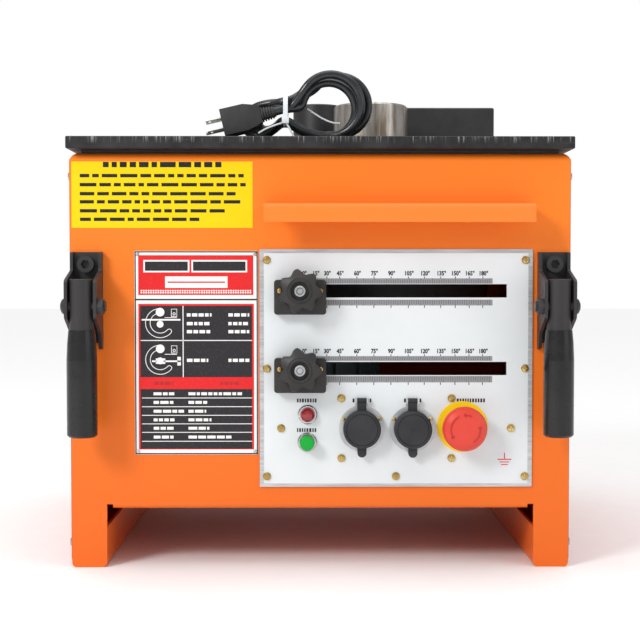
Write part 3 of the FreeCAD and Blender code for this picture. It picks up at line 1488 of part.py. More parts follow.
def cable_gland():
    """Nut, body and tapered relief on the rear panel."""
    profile = [
        (CORD_R, -SHEET_T - 10),
        (CORD_R + 6.0, -SHEET_T - 10),
        (CORD_R + 6.0, 0),
        (14.0, 0),
        (14.0, 6.0),
        (12.0, 7.0),
        (12.0, 14.0),
        (9.5, 16.0),
        (7.0, GLAND_OUT),
        (CORD_R, GLAND_OUT),
    ]
    return turned(profile, Vector(GLAND_X, BACK_Y, GLAND_Z), Vector(0, 1, 0))


PLUG_TILT = 13.0
PLUG_FACE = Vector(-98.5, -184.0, 444.5)
PLUG_W = 27.0
PLUG_L = 40.0
PLUG_RELIEF = 14.0  # tapered relief behind the body


def plug_placed(shape):
    """Lay a plug piece, modelled along +X from its face, where it rests on the table."""
    shape.rotate(Vector(0, 0, 0), Vector(0, 1, 0), -PLUG_TILT)
    shape.translate(PLUG_FACE)
    return shape


def plug_body():
    half = PLUG_W / 2
    body = plate_z(
        [
            (0, -half, 3.0),
            (PLUG_L * 0.55, -half, 8.0),
            (PLUG_L, -9.0, 4.0),
            (PLUG_L, 9.0, 4.0),
            (PLUG_L * 0.55, half, 8.0),
            (0, half, 3.0),
        ],
        -half,
        half,
    )
    wedge = plate_y(
        [
            (-1, -half - 1, 0),
            (-1, half + 1, 0),
            (PLUG_L * 0.5, half + 1, 10.0),
            (PLUG_L + 1, 9.0, 0),
            (PLUG_L + 1, -9.0, 0),
            (PLUG_L * 0.5, -half - 1, 10.0),
        ],
        -half - 1,
        half + 1,
    )
    relief_end = PLUG_L + PLUG_RELIEF
    relief_profile = [(0, PLUG_L - 2), (7.0, PLUG_L - 2), (5.6, relief_end), (0, relief_end)]
    relief = turned(relief_profile, Vector(0, 0, 0), Vector(1, 0, 0))
    return plug_placed(fuse(body.common(wedge), relief))


def plug_blades():
    """Two flat blades and the round earth pin."""
    blades = []
    for side in (-1, 1):
        blade = box(-16.5, 0, side * 6.35 - 0.75, side * 6.35 + 0.75, -3.1, 3.1)
        hole = rod_y(1.5, side * 6.35 - 2, side * 6.35 + 2, -12.5, 0)
        blades.append(cut(blade, hole))
    earth = rod_x(2.3, -19.0, 0, 0, -9.0)
    roll = 62.0
    pieces = []
    for piece in blades + [earth]:
        piece.rotate(Vector(0, 0, 0), Vector(1, 0, 0), roll)
        pieces.append(plug_placed(piece))
    return pieces


# ---------------------------------------------------------------- the whole machine
def build():
    os.makedirs("parts", exist_ok=True)
    save("worktable_plate", worktable_plate())
    save("table_spacer_frame", table_spacer_frame())
    bolts = [countersunk(x, y) for x, y in table_bolt_points()]
    save("table_bolts", *bolts, *[block_bolt(x, y) for x, y in block_bolt_points()])
    save("front_panel", front_panel())
    save("rear_panel", rear_panel())
    save("side_walls", side_wall(), flip_x(side_wall()))
    save("side_covers", side_cover(), flip_x(side_cover()))
    save("cover_screws", *cover_screws())
    save("base_tray", base_tray())
    save("panel_hood", panel_hood())
    save("control_panel", control_panel())
    save("panel_screws", *panel_screws())
    save("rating_plate", rating_plate())
    save("reaction_block", reaction_block())
    save("centre_collar", centre_collar())
    save("bending_roller", bending_roller())
    save("bending_pin", bending_pin())
    save("turntable_disc", turntable_disc())
    save("main_shaft", main_shaft())
    save("final_gear", final_gear())
    save("second_gear_shaft", second_gear_shaft())
    save("first_gear_shaft", first_gear_shaft())
    save("gearbox_housing", gearbox_housing())
    save("gearbox_cover", gearbox_cover())
    save("gearbox_bearings", *gearbox_bearings())
    save("motor_housing", motor_housing())
    save("motor_rotor", motor_rotor())
    save("motor_fan", motor_fan())
    save("electrical_box", electrical_box())
    for number, z in enumerate(slot_heights(), 1):
        save(f"angle_slider_{number}", angle_slider(z))
        save(f"slider_carrier_{number}", slider_carrier(z))
        save(f"star_knob_{number}", star_knob(z))
    save("lamp_lens", lamp_lens())
    save("switch_bezels", *switch_bezels())
    save("start_button", start_button())
    save("socket_flanges", *[socket_flange(at) for at in SOCKETS_AT])
    for number, at in enumerate(SOCKETS_AT, 1):
        save(f"socket_cap_{number}", socket_cap(at))
    save("stop_base", stop_base())
    save("stop_stem", stop_stem())
    save("stop_head", stop_head())
    save("handle_brackets", *all_corners(handle_bracket()))
    save("bracket_bolts", *all_corners(bracket_bolt()))
    save("handle_pivots", *all_corners(handle_pivot()))
    names = ("front_left", "front_right", "rear_left", "rear_right")
    for name, tube, sleeve in zip(names, all_corners(lever()), all_corners(grip())):
        save(f"lever_{name}", tube)
        save(f"grip_{name}", sleeve)
    save("cable_gland", cable_gland())
    save("power_cord", power_cord())
    save("cord_hank", cord_hank())
    save("plug_body", plug_body())
    save("plug_blades", *plug_blades())


build()
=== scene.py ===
import bpy
import math
import random
from mathutils import Euler, Matrix, Vector


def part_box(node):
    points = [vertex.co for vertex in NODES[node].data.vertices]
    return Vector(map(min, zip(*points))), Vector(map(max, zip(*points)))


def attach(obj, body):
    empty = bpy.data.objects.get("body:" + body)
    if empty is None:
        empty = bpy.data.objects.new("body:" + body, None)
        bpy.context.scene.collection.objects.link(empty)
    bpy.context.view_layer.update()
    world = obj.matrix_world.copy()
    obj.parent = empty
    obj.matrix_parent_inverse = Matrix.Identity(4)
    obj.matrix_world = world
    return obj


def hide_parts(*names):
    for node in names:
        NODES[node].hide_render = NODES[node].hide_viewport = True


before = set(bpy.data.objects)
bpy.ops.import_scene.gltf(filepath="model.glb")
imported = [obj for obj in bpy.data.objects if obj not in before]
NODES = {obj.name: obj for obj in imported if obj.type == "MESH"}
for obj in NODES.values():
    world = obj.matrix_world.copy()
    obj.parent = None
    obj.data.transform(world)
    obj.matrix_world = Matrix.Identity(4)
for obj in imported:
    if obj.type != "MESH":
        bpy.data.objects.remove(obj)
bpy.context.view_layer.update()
MM = 0.001
PAINT_THICK = 0.08  # mm, printed marks stand this far off their plate
random.seed(7)


# ---------------------------------------------------------------- camera
LENS = 70.8  # mm, on a sensor 36 mm wide
EYE = (-0.0083, -1.463, 0.290)
LOOK_DOWN = 1.96  # degrees
LOOK_RIGHT = 0.36


def camera():
    data = bpy.data.cameras.new("camera")
    data.lens = LENS
    data.sensor_width = 36.0
    data.clip_start = 0.05
    eye = bpy.data.objects.new("camera", data)
    eye.location = EYE
    eye.rotation_euler = (math.radians(90 - LOOK_DOWN), 0, math.radians(-LOOK_RIGHT))
    bpy.context.scene.collection.objects.link(eye)
    bpy.context.scene.camera = eye


# ---------------------------------------------------------------- places taken from the machine
def extent(node):
    """Left, right, front, back, bottom and top of a part, in mm."""
    low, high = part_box(node)
    return [round(v / MM, 4) for v in (low.x, high.x, low.y, high.y, low.z, high.z)]


PANEL_LEFT, PANEL_RIGHT, PANEL_FRONT, _, PANEL_LOW, PANEL_TOP = extent("control_panel")
PLATE_LEFT, _, PLATE_FRONT, _, _, PLATE_TOP = extent("rating_plate")
BODY_FRONT = extent("front_panel")[2]
TABLE_TOP = extent("worktable_plate")[5]


def on_panel(right, drop):
    return PANEL_LEFT + right, PANEL_TOP - drop


def on_plate(right, drop):
    return PLATE_LEFT + right, PLATE_TOP - drop


# ---------------------------------------------------------------- shader values and finishes
class Value:
    """A value in a material. Arithmetic on it adds Math nodes."""

    def __init__(self, finish, socket):
        self.finish = finish
        self.socket = socket

    def math(self, operation, first, second):
        settings = {"operation": operation}
        return self.finish.node("ShaderNodeMath", settings, {0: first, 1: second})

    def __add__(self, other):
        return self.math("ADD", self, other)

    def __sub__(self, other):
        return self.math("SUBTRACT", self, other)

    def __mul__(self, other):
        return self.math("MULTIPLY", self, other)

    def __gt__(self, other):
        return self.math("GREATER_THAN", self, other)

    def __lt__(self, other):
        return self.math("LESS_THAN", self, other)

    def __abs__(self):
        return self.math("ABSOLUTE", self, 0.0)

    def larger(self, other):
        return self.math("MAXIMUM", self, other)


class Finish:
    """One material. Its patterns run on Object coordinates, in metres."""

    def __init__(self, name, slot):
        self.slot = slot
        self.material = bpy.data.materials.new(name)
        self.material.use_nodes = True
        self.tree = self.material.node_tree
        self.tree.nodes.clear()
        self.place = self.node("ShaderNodeTexCoord", output="Object")

    def node(self, kind, settings=None, inputs=None, output=0):
        made = self.tree.nodes.new(kind)
        for key, value in (settings or {}).items():
            if key == "stops":
                ramp = made.color_ramp
                for number, (at, colour) in enumerate(value):
                    stop = ramp.elements[number] if number < 2 else ramp.elements.new(at)
                    stop.position = at
                    stop.color = (*colour, 1.0)
            else:
                setattr(made, key, value)
        for key, value in (inputs or {}).items():
            if isinstance(value, Value):
                self.tree.links.new(value.socket, made.inputs[key])
            else:
                made.inputs[key].default_value = value
        return Value(self, made.outputs[output])

    def stretched(self, scale):
        """Object coordinates scaled per axis, for grain that runs one way."""
        settings = {"operation": "MULTIPLY"}
        return self.node("ShaderNodeVectorMath", settings, {0: self.place, 1: scale})

    def axes(self):
        split = self.node("ShaderNodeSeparateXYZ", {}, {0: self.place})
        outputs = split.socket.node.outputs
        return [Value(self, outputs[axis]) for axis in ("X", "Y", "Z")]

    def noise(self, scale, detail=3.0, place=None):
        inputs = {
            "Vector": place or self.place, "Scale": scale, "Detail": detail, "Roughness": 0.55
        }
        return self.node("ShaderNodeTexNoise", {}, inputs)

    def between(self, value, low, high, start=0.0, end=1.0):
        inputs = {0: value, 1: low, 2: high, 3: start, 4: end}
        return self.node("ShaderNodeMapRange", {"clamp": True}, inputs)

    def blend(self, amount, first, second):
        """Colour first where amount is 0, second where it is 1."""
        first, second = [
            value if isinstance(value, Value) else (*value, 1.0) for value in (first, second)
        ]
        inputs = {0: amount, 6: first, 7: second}
        return self.node("ShaderNodeMix", {"data_type": "RGBA"}, inputs, output=2)

    def bump(self, height, depth):
        inputs = {"Height": height, "Distance": depth, "Strength": 1.0}
        return self.node("ShaderNodeBump", {}, inputs)

    def close(self, colour, roughness, metallic=0.0, normal=None, **constants):
        inputs = {"Base Color": colour, "Roughness": roughness, "Metallic": metallic}
        if not isinstance(colour, Value):
            inputs["Base Color"] = (*colour, 1.0)
        if normal is not None:
            inputs["Normal"] = normal
        for key, value in constants.items():
            inputs[key.replace("_", " ")] = value
        shader = self.node("ShaderNodeBsdfPrincipled", {}, inputs)
        self.node_out(shader)
        return self

    def node_out(self, shader):
        out = self.tree.nodes.new("ShaderNodeOutputMaterial")
        self.tree.links.new(shader.socket, out.inputs["Surface"])


def painted_sheet(name, slot, colour, dusty, gloss):
    """Powder coat: fine orange peel, faint clouding and dust, and painted shade that darkens it low
    down.
    """
    f = Finish(name, slot)
    peel = f.noise(900.0, 2.0)
    cloud = f.noise(7.0, 4.0)
    speck = f.noise(260.0, 2.0)
    amount = f.between(cloud, 0.35, 0.75, 0.0, 0.35) + f.between(speck, 0.66, 0.8, 0.0, 0.12)
    tone = f.blend(amount, colour, dusty)
    _, _, z = f.axes()
    # painted shade: the coat's colour is darkened towards the floor, up to 0.38 m high
    deep = tuple(c * k for c, k in zip(colour, (0.84, 0.60, 0.6)))
    tone = f.blend(f.between(z, 0.02, 0.38, 0.85, 0.0), tone, deep)
    rough = f.between(cloud, 0.3, 0.7, gloss, gloss + 0.10)
    gleam = {"Specular_IOR_Level": 0.22, "Coat_Weight": 0.1, "Coat_Roughness": 0.2}
    return f.close(tone, rough, 0.0, f.bump(peel, 0.00012), **gleam)


def rolled_table(name, slot):
    """Blackened plate: mill scale, sawn edges with bright upright scratches near the top."""
    f = Finish(name, slot)
    _, _, z = f.axes()
    scale = f.noise(55.0, 5.0)
    grain = f.noise(620.0, 3.0, f.stretched((1.0, 1.0, 0.05)))
    lines = f.between(grain, 0.56, 0.70)
    top = TABLE_TOP * MM
    upper = f.between(z, top - 0.0075, top - 0.001, 0.0, 1.0) * (z < top - 0.0003)
    deep = f.between(f.noise(300.0, 1.0, f.stretched((1.0, 1.0, 0.1))), 0.40, 0.62, 0.25, 1.0)
    marks = lines * upper * deep
    face = f.blend(f.between(scale, 0.3, 0.72), (0.018, 0.018, 0.020), (0.036, 0.035, 0.036))
    drag = f.noise(34.0, 6.0, f.stretched((0.25, 4.0, 1.0)))
    rub = f.between(drag, 0.60, 0.70, 0.0, 0.35)
    tone = f.blend(rub, face, (0.16, 0.15, 0.14))
    tone = f.blend(marks, tone, (0.34, 0.34, 0.34))
    rough = f.between(scale, 0.3, 0.7, 0.42, 0.58)
    height = scale * 0.4 + grain * 0.3
    metal = f.between(marks, 0.0, 1.0, 0.1, 0.7)
    return f.close(tone, rough, metal, f.bump(height, 0.0002), Specular_IOR_Level=0.2)


def machined(name, slot, bright, dark, rough_low, rough_high, lay, metallic=1.0):
    """Bare or blackened steel with fine tool marks; lay stretches the grain along each axis."""
    f = Finish(name, slot)
    fine = f.noise(900.0, 3.0, f.stretched(lay))
    stain = f.noise(38.0, 5.0)
    tone = f.blend(f.between(stain, 0.35, 0.7), bright, dark)
    tone = f.blend(f.between(fine, 0.45, 0.7, 0.0, 0.3), tone, dark)
    rough = f.between(stain + fine * 0.5, 0.5, 1.0, rough_low, rough_high)
    return f.close(tone, rough, metallic, f.bump(fine, 0.00008))


def brushed_collar(name, slot):
    """Turned steel collar: fine rings round it and soft upright bands of oil stain."""
    f = Finish(name, slot)
    rings = f.noise(700.0, 2.0, f.stretched((0.02, 0.02, 3.0)))
    x, y, z = f.axes()
    low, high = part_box("centre_collar")
    centre = (low + high) / 2
    turn = f.node(
        "ShaderNodeMath",
        {"operation": "ARCTAN2"},
        {0: y - centre.y, 1: x - centre.x},
    )
    around = f.node("ShaderNodeCombineXYZ", {}, {0: turn * 0.05, 1: 0.0, 2: z * 0.15})
    bands = f.noise(70.0, 3.0, around)
    tone = f.blend(f.between(bands, 0.42, 0.62), (0.46, 0.44, 0.41), (0.20, 0.155, 0.11))
    tone = f.blend(f.between(rings, 0.5, 0.75, 0.0, 0.25), tone, (0.25, 0.22, 0.2))
    rough = f.between(bands, 0.4, 0.65, 0.26, 0.42)
    return f.close(tone, rough, 0.9, f.bump(rings, 0.00006))


def moulded(name, slot, colour, worn, gloss, grain, depth, **constants):
    """Plastic, rubber or vinyl with a fine skin and slight wear."""
    f = Finish(name, slot)
    skin = f.noise(grain, 3.0)
    cloud = f.noise(30.0, 4.0)
    tone = f.blend(f.between(cloud, 0.4, 0.72), colour, worn)
    rough = f.between(cloud + skin * 0.3, 0.45, 0.9, gloss, gloss + 0.16)
    constants.setdefault("Specular_IOR_Level", 0.3)
    return f.close(tone, rough, 0.0, f.bump(skin, depth), **constants)


def white_panel(name, slot):
    """White print on sheet steel, with a bare rim round its edge."""
    f = Finish(name, slot)
    x, _, z = f.axes()
    middle_x = (PANEL_LEFT + PANEL_RIGHT) / 2 * MM
    middle_z = (PANEL_LOW + PANEL_TOP) / 2 * MM
    half_x = (PANEL_RIGHT - PANEL_LEFT) / 2 * MM
    half_z = (PANEL_TOP - PANEL_LOW) / 2 * MM
    across = abs(x - middle_x) - (half_x - 0.0043)
    up = abs(z - (middle_z - 0.0003)) - (half_z - 0.0037)
    rim = across.larger(up) > 0.0
    cloud = f.noise(9.0, 4.0)
    smear = f.noise(60.0, 5.0)
    white = f.blend(f.between(cloud, 0.35, 0.7), (0.72, 0.75, 0.765), (0.66, 0.69, 0.705))
    white = f.blend(f.between(smear, 0.62, 0.75, 0.0, 0.15), white, (0.6, 0.6, 0.6))
    brushed = f.noise(500.0, 3.0, f.stretched((0.06, 1.0, 1.0)))
    bare = f.blend(f.between(brushed, 0.35, 0.7), (0.60, 0.61, 0.62), (0.42, 0.43, 0.44))
    tone = f.blend(rim, white, bare)
    rough = f.between(cloud, 0.3, 0.7, 0.30, 0.40) + rim * 0.06
    return f.close(tone, rough, rim * 0.7, f.bump(cloud * 0.5 + brushed * rim * 0.2, 0.00005))


def printed_ink(name, slot, colour, worn=0.1):
    """Flat printed colour with faint wear."""
    f = Finish(name, slot)
    wear = f.noise(420.0, 4.0)
    pale = tuple(min(1.0, c * 0.75 + 0.1) for c in colour)
    tone = f.blend(f.between(wear, 0.52, 0.8, 0.0, worn * 2), colour, pale)
    return f.close(
        tone,
        f.between(wear, 0.3, 0.7, 0.34, 0.46),
        0.0,
        f.bump(wear, 0.00002),
        Specular_IOR_Level=0.15,
    )


def cord_skin(name, slot):
    """Rubber-sheathed lead: matt, faintly banded, dust in its lay."""
    f = Finish(name, slot)
    skin = f.noise(1500.0, 2.0)
    dust = f.noise(45.0, 4.0)
    tone = f.blend(f.between(dust, 0.45, 0.75), (0.014, 0.015, 0.017), (0.036, 0.037, 0.040))
    return f.close(tone, f.between(dust, 0.4, 0.7, 0.22, 0.34), 0.0, f.bump(skin, 0.00006))


def lit_lens(name, slot):
    f = Finish(name, slot)
    ribs = f.noise(800.0, 1.0)
    tone = f.blend(f.between(ribs, 0.3, 0.7), (0.30, 0.012, 0.015), (0.20, 0.006, 0.01))
    return f.close(
        tone, f.between(ribs, 0.3, 0.7, 0.12, 0.2), 0.0, f.bump(ribs, 0.00004), Coat_Weight=0.6
    )


ORANGE = painted_sheet(
    "orange_powder_coat", "orange_paint", (0.90, 0.205, 0.016), (0.84, 0.215, 0.03), 0.36
)
# The body's orange darkened as painted shade, for the side covers and base tray that stand in shade
SHADED_ORANGE = painted_sheet(
    "shaded_cover_paint", "orange_paint", (0.62, 0.085, 0.018), (0.5, 0.08, 0.02), 0.42
)
HOOD_PAINT = painted_sheet(
    "hood_paint", "orange_paint", (0.92, 0.215, 0.03), (0.85, 0.22, 0.045), 0.33
)
TABLE = rolled_table("blackened_plate", "black_table")
BLACK_STEEL = machined(
    "blackened_steel",
    "black_steel",
    (0.042, 0.042, 0.044),
    (0.026, 0.026, 0.028),
    0.36,
    0.54,
    (1, 1, 0.2),
    0.3,
)
BRACKET_PAINT = painted_sheet(
    "black_bracket_paint", "black_steel", (0.032, 0.032, 0.034), (0.06, 0.06, 0.062), 0.34
)
BARE_STEEL = machined(
    "ground_steel", "bare_steel", (0.58, 0.57, 0.55), (0.36, 0.35, 0.33), 0.24, 0.42, (1, 1, 0.1)
)
DARK_STEEL = machined(
    "hardened_steel",
    "dark_steel",
    (0.036, 0.035, 0.035),
    (0.020, 0.019, 0.019),
    0.36,
    0.52,
    (0.1, 0.1, 2.0),
    0.25,
)
COLLAR_STEEL = brushed_collar("turned_collar", "bare_steel")
ZINC = machined(
    "yellow_zinc", "zinc", (0.74, 0.57, 0.22), (0.40, 0.25, 0.06), 0.20, 0.36, (1, 1, 1)
)
PANEL_WHITE = white_panel("white_panel", "panel_white")
BLACK_PLASTIC = moulded(
    "black_plastic",
    "black_plastic",
    (0.026, 0.025, 0.025),
    (0.050, 0.046, 0.044),
    0.36,
    1100.0,
    0.00007,
)
RUBBER = moulded(
    "cap_rubber",
    "rubber",
    (0.027, 0.028, 0.031),
    (0.042, 0.042, 0.046),
    0.48,
    900.0,
    0.00006,
    Specular_IOR_Level=0.2,
)
VINYL = moulded(
    "dipped_vinyl",
    "vinyl",
    (0.010, 0.009, 0.009),
    (0.016, 0.015, 0.015),
    0.2,
    120.0,
    0.00022,
    Specular_IOR_Level=0.2,
    Coat_Weight=0.3,
    Coat_Roughness=0.12,
)
STOP_MARK = moulded(
    "stop_mark", "red_plastic", (0.42, 0.022, 0.018), (0.5, 0.04, 0.03), 0.34, 700.0, 0.00003
)
RED_PLASTIC = moulded(
    "stop_red", "red_plastic", (0.64, 0.050, 0.032), (0.70, 0.070, 0.045), 0.30, 700.0, 0.00003
)
YELLOW_PLASTIC = moulded(
    "stop_yellow", "yellow_plastic", (0.90, 0.62, 0.0), (0.86, 0.58, 0.02), 0.34, 700.0, 0.00003
)
GREEN_PLASTIC = moulded(
    "start_green",
    "green_plastic",
    (0.002, 0.36, 0.034),
    (0.004, 0.30, 0.034),
    0.30,
    700.0,
    0.00003,
)
RED_LENS = lit_lens("lamp_red", "red_lens")
CHROME = machined("chrome", "chrome", (0.60, 0.61, 0.62), (0.42, 0.43, 0.44), 0.14, 0.26, (1, 1, 1))
SILVER = machined(
    "satin_nickel", "nickel", (0.60, 0.61, 0.62), (0.40, 0.41, 0.42), 0.26, 0.4, (1, 1, 1)
)
BLADE = machined(
    "blade_nickel", "nickel", (0.80, 0.79, 0.76), (0.62, 0.61, 0.58), 0.38, 0.52, (1, 1, 1), 0.35
)
DIE_CAST = machined(
    "die_cast", "nickel", (0.62, 0.63, 0.64), (0.40, 0.41, 0.42), 0.32, 0.46, (1, 1, 1), 0.8
)
CAST = moulded(
    "cast_iron_paint", "cast_grey", (0.13, 0.135, 0.14), (0.19, 0.19, 0.19), 0.5, 300.0, 0.0003
)
MOTOR_PAINT = moulded(
    "motor_paint", "motor_grey", (0.09, 0.12, 0.14), (0.14, 0.17, 0.18), 0.42, 400.0, 0.0001
)
CORD_SKIN = cord_skin("cord_rubber", "cord_rubber")
PLUG_SKIN = moulded(
    "plug_vinyl",
    "cord_rubber",
    (0.026, 0.026, 0.027),
    (0.045, 0.045, 0.046),
    0.42,
    1400.0,
    0.00008,
)
NYLON = moulded(
    "white_nylon", "panel_white", (0.72, 0.76, 0.78), (0.62, 0.66, 0.68), 0.34, 900.0, 0.00003
)
INK_BLACK = printed_ink("ink_black", "plate_print", (0.020, 0.020, 0.022))
INK_CHARCOAL = printed_ink("ink_charcoal", "plate_print", (0.030, 0.028, 0.031), 0.12)
INK_RED = printed_ink("ink_red", "plate_print", (0.70, 0.024, 0.026), 0.12)
INK_WHITE = printed_ink("ink_white", "plate_print", (0.82, 0.82, 0.80))
INK_GREY = printed_ink("ink_grey", "plate_print", (0.27, 0.27, 0.28))
INK_DARK_GREY = printed_ink("ink_dark_grey", "plate_print", (0.12, 0.12, 0.125))
INK_DULL_RED = printed_ink("ink_dull_red", "plate_print", (0.40, 0.03, 0.03))
LABEL_YELLOW = printed_ink("label_yellow", "plate_print", (0.82, 0.585, 0.004))


# ---------------------------------------------------------------- modelling by hand
def alone(piece=None):
    if bpy.context.object and bpy.context.object.mode != "OBJECT":
        leave_edit()
    bpy.ops.object.select_all(action="DESELECT")
    if piece:
        piece.select_set(True)
        bpy.context.view_layer.objects.active = piece


def leave_edit():
    bpy.ops.object.mode_set(mode="OBJECT")


def pick(piece, kind, test):
    """Into edit mode with only the faces, edges or corners that pass the test."""
    alone(piece)
    bpy.ops.object.mode_set(mode="EDIT")
    bpy.ops.mesh.select_mode(type=kind)
    bpy.ops.mesh.select_all(action="DESELECT")
    leave_edit()
    mesh = piece.data
    if kind == "FACE":
        for face in mesh.polygons:
            face.select = test(face)
    elif kind == "EDGE":
        for edge in mesh.edges:
            edge.select = test(*[mesh.vertices[i].co for i in edge.vertices])
    else:
        for corner in mesh.vertices:
            corner.select = test(corner.co)
    bpy.ops.object.mode_set(mode="EDIT")


def settle():
    """Out of edit mode, with the piece's place put into its mesh."""
    piece = bpy.context.object
    alone(piece)
    bpy.ops.object.transform_apply(location=True, rotation=True, scale=True)
    return piece


def apply_modifiers(piece):
    alone(piece)
    for modifier in list(piece.modifiers):
        bpy.ops.object.modifier_apply(modifier=modifier.name)


def outwards(piece):
    """Loose doubles merged, faces turned outwards."""
    alone(piece)
    bpy.ops.object.mode_set(mode="EDIT")
    bpy.ops.mesh.select_all(action="SELECT")
    bpy.ops.mesh.remove_doubles(threshold=1e-6)
    bpy.ops.mesh.normals_make_consistent(inside=False)
    leave_edit()


def soft_edges(piece, width, segments=2):
    """Rounds the sharp edges of a finished shape."""
    bevel = piece.modifiers.new("rounds", "BEVEL")
    bevel.width = width * MM
    bevel.segments = segments
    bevel.limit_method = "ANGLE"
    bevel.angle_limit = math.radians(30)
    apply_modifiers(piece)


def finished(piece, name, body, finish, smooth=35.0):
    alone(piece)
    if piece.type == "MESH":
        bpy.ops.object.shade_smooth_by_angle(angle=math.radians(smooth))
    piece.name = name
    piece.data.name = name
    piece.data.materials.clear()
    piece.data.materials.append(finish.material)
    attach(piece, body)
    return piece


def box_piece(x0, x1, y0, y1, z0, z1):
    alone()
    bpy.ops.mesh.primitive_cube_add(
        size=1.0,
        location=((x0 + x1) / 2 * MM, (y0 + y1) / 2 * MM, (z0 + z1) / 2 * MM),
        scale=((x1 - x0) * MM, (y1 - y0) * MM, (z1 - z0) * MM),
    )
    return settle()


def disc_piece(radius, depth, place, turn, sides):
    """Short cylinder about place, in mm; its axis is Z before turn."""
    alone()
    bpy.ops.mesh.primitive_cylinder_add(
        vertices=sides,
        radius=radius * MM,
        depth=depth * MM,
        location=[c * MM for c in place],
        rotation=turn,
    )
    return settle()


def joined(pieces):
    alone(pieces[0])
    for piece in pieces[1:]:
        piece.select_set(True)
    if len(pieces) > 1:
        bpy.ops.object.join()
    return pieces[0]


FACING_FRONT = (math.pi / 2, 0, 0)


def dashes(left, right, shortest, longest, gap, least):
    """Starts and lengths of a row of bars; no bar starts within least of the end."""
    x = left
    while x < right - least:
        width = min(random.uniform(shortest, longest), right - x)
        yield x, width
        x += width + gap


def prints(name, finish, marks, front, layer=1):
    """Marks as one thin piece: (left, right, low, high) in mm. Front is the face they lie on."""
    alone()
    bpy.ops.mesh.primitive_plane_add(size=0.001, location=(0, 0, 0))
    piece = settle()
    bpy.ops.object.mode_set(mode="EDIT")
    bpy.ops.mesh.delete(type="FACE")
    y = (front - PAINT_THICK * (layer - 1)) * MM
    for x0, x1, z0, z1 in marks:
        place = ((x0 + x1) / 2 * MM, y, (z0 + z1) / 2 * MM)
        bpy.ops.mesh.primitive_plane_add(size=MM, location=place, rotation=FACING_FRONT)
        bpy.ops.transform.resize(value=(x1 - x0, 1, z1 - z0), center_override=place)
    bpy.ops.mesh.select_all(action="SELECT")
    push = {"value": (0, -PAINT_THICK * MM, 0)}
    bpy.ops.mesh.extrude_region_move(TRANSFORM_OT_translate=push)
    leave_edit()
    outwards(piece)
    return finished(piece, name, "machine", finish)


def strokes(name, finish, paths, width, front, layer=1):
    """Printed lines, made as round curves and pressed flat. Paths are lists of (x, z) in mm."""
    y = front - PAINT_THICK * layer
    routes = [[(x, y, z) for x, z in path] for path in paths]
    piece = as_mesh(curve_piece(name, "POLY", routes, width / 2, 1))
    bpy.ops.object.mode_set(mode="EDIT")
    bpy.ops.mesh.select_all(action="SELECT")
    flat = (1, PAINT_THICK / width, 1)
    bpy.ops.transform.resize(value=flat, center_override=(0, y * MM, 0))
    leave_edit()
    outwards(piece)
    return finished(piece, name, "machine", finish)


def curve_piece(name, kind, paths, radius, rounding, steps=12):
    """Round curves along paths of (x, y, z), all in mm."""
    curve = bpy.data.curves.new(name, "CURVE")
    curve.dimensions = "3D"
    curve.bevel_depth = radius * MM
    curve.bevel_resolution = rounding
    curve.resolution_u = steps
    curve.use_fill_caps = True
    for path in paths:
        spline = curve.splines.new(kind)
        spline.points.add(len(path) - 1)
        for point, place in zip(spline.points, path):
            point.co = (*[c * MM for c in place], 1.0)
        if kind == "NURBS":
            spline.order_u = 3
            spline.use_endpoint_u = True
    piece = bpy.data.objects.new(name, curve)
    bpy.context.scene.collection.objects.link(piece)
    return piece


def as_mesh(piece):
    alone(piece)
    bpy.ops.object.convert(target="MESH")
    return bpy.context.object


def arc_path(x, z, radius, start, end, steps=24):
    """Points on an arc seen from the front, angles in degrees from the right, upwards."""
    turns = [math.radians(start + (end - start) * i / steps) for i in range(steps + 1)]
    return [(x + radius * math.cos(a), z + radius * math.sin(a)) for a in turns]


NUMBER_SIZE = 5.9
NUMBER_WIDTH = 0.84  # of the font's own width
NUMBER_WEIGHT = 0.24


def numbers(name, finish, labels, front):
    """Scale numbers as thin raised print. Labels are (text, middle, low) in mm."""
    made = []
    for text, x, z in labels:
        alone()
        place = (x * MM, (front - PAINT_THICK) * MM, z * MM)
        bpy.ops.object.text_add(location=place, rotation=FACING_FRONT)
        label = bpy.context.object
        label.data.body = text
        label.data.size = NUMBER_SIZE * MM
        label.data.align_x = "CENTER"
        label.data.offset = NUMBER_WEIGHT * MM
        label.data.extrude = PAINT_THICK * 0.45 * MM
        label.data.resolution_u = 3
        bpy.ops.object.convert(target="MESH")
        label = settle()
        pick(label, "VERT", lambda co: True)
        bpy.ops.transform.resize(value=(NUMBER_WIDTH, 1, 1), center_override=(x * MM, 0, 0))
        leave_edit()
        made.append(label)
    piece = joined(made)
    outwards(piece)
    return finished(piece, name, "machine", finish)


# ---------------------------------------------------------------- power cord
CORD_D = 8.5
CORD_ROUTE = [
    (-60, 241, 230),
    (-61, 283, 230),
    (-66, 311, 201),
    (-79, 316, 158),
    (-104, 310, 120),
    (-147, 301, 112),
    (-178, 291, 145),
    (-183, 279, 192),
    (-181, 265, 246),
    (-178, 255, 302),
    (-175, 250, 358),
    (-174, 249, 408),
    (-173, 247, 445),
    (-172, 218, 469),
    (-171, 177, 466),
    (-169, 134, 448),
    (-166, 88, 436),
    (-163, 36, 432.6),
    (-160, -16, 432.4),
    (-149, -63, 432.4),
    (-122, -97, 432.4),
    (-80, -112, 432.6),
    (-38, -122, 434),
    (-8, -142, 436),
    (8, -158, 436),
]
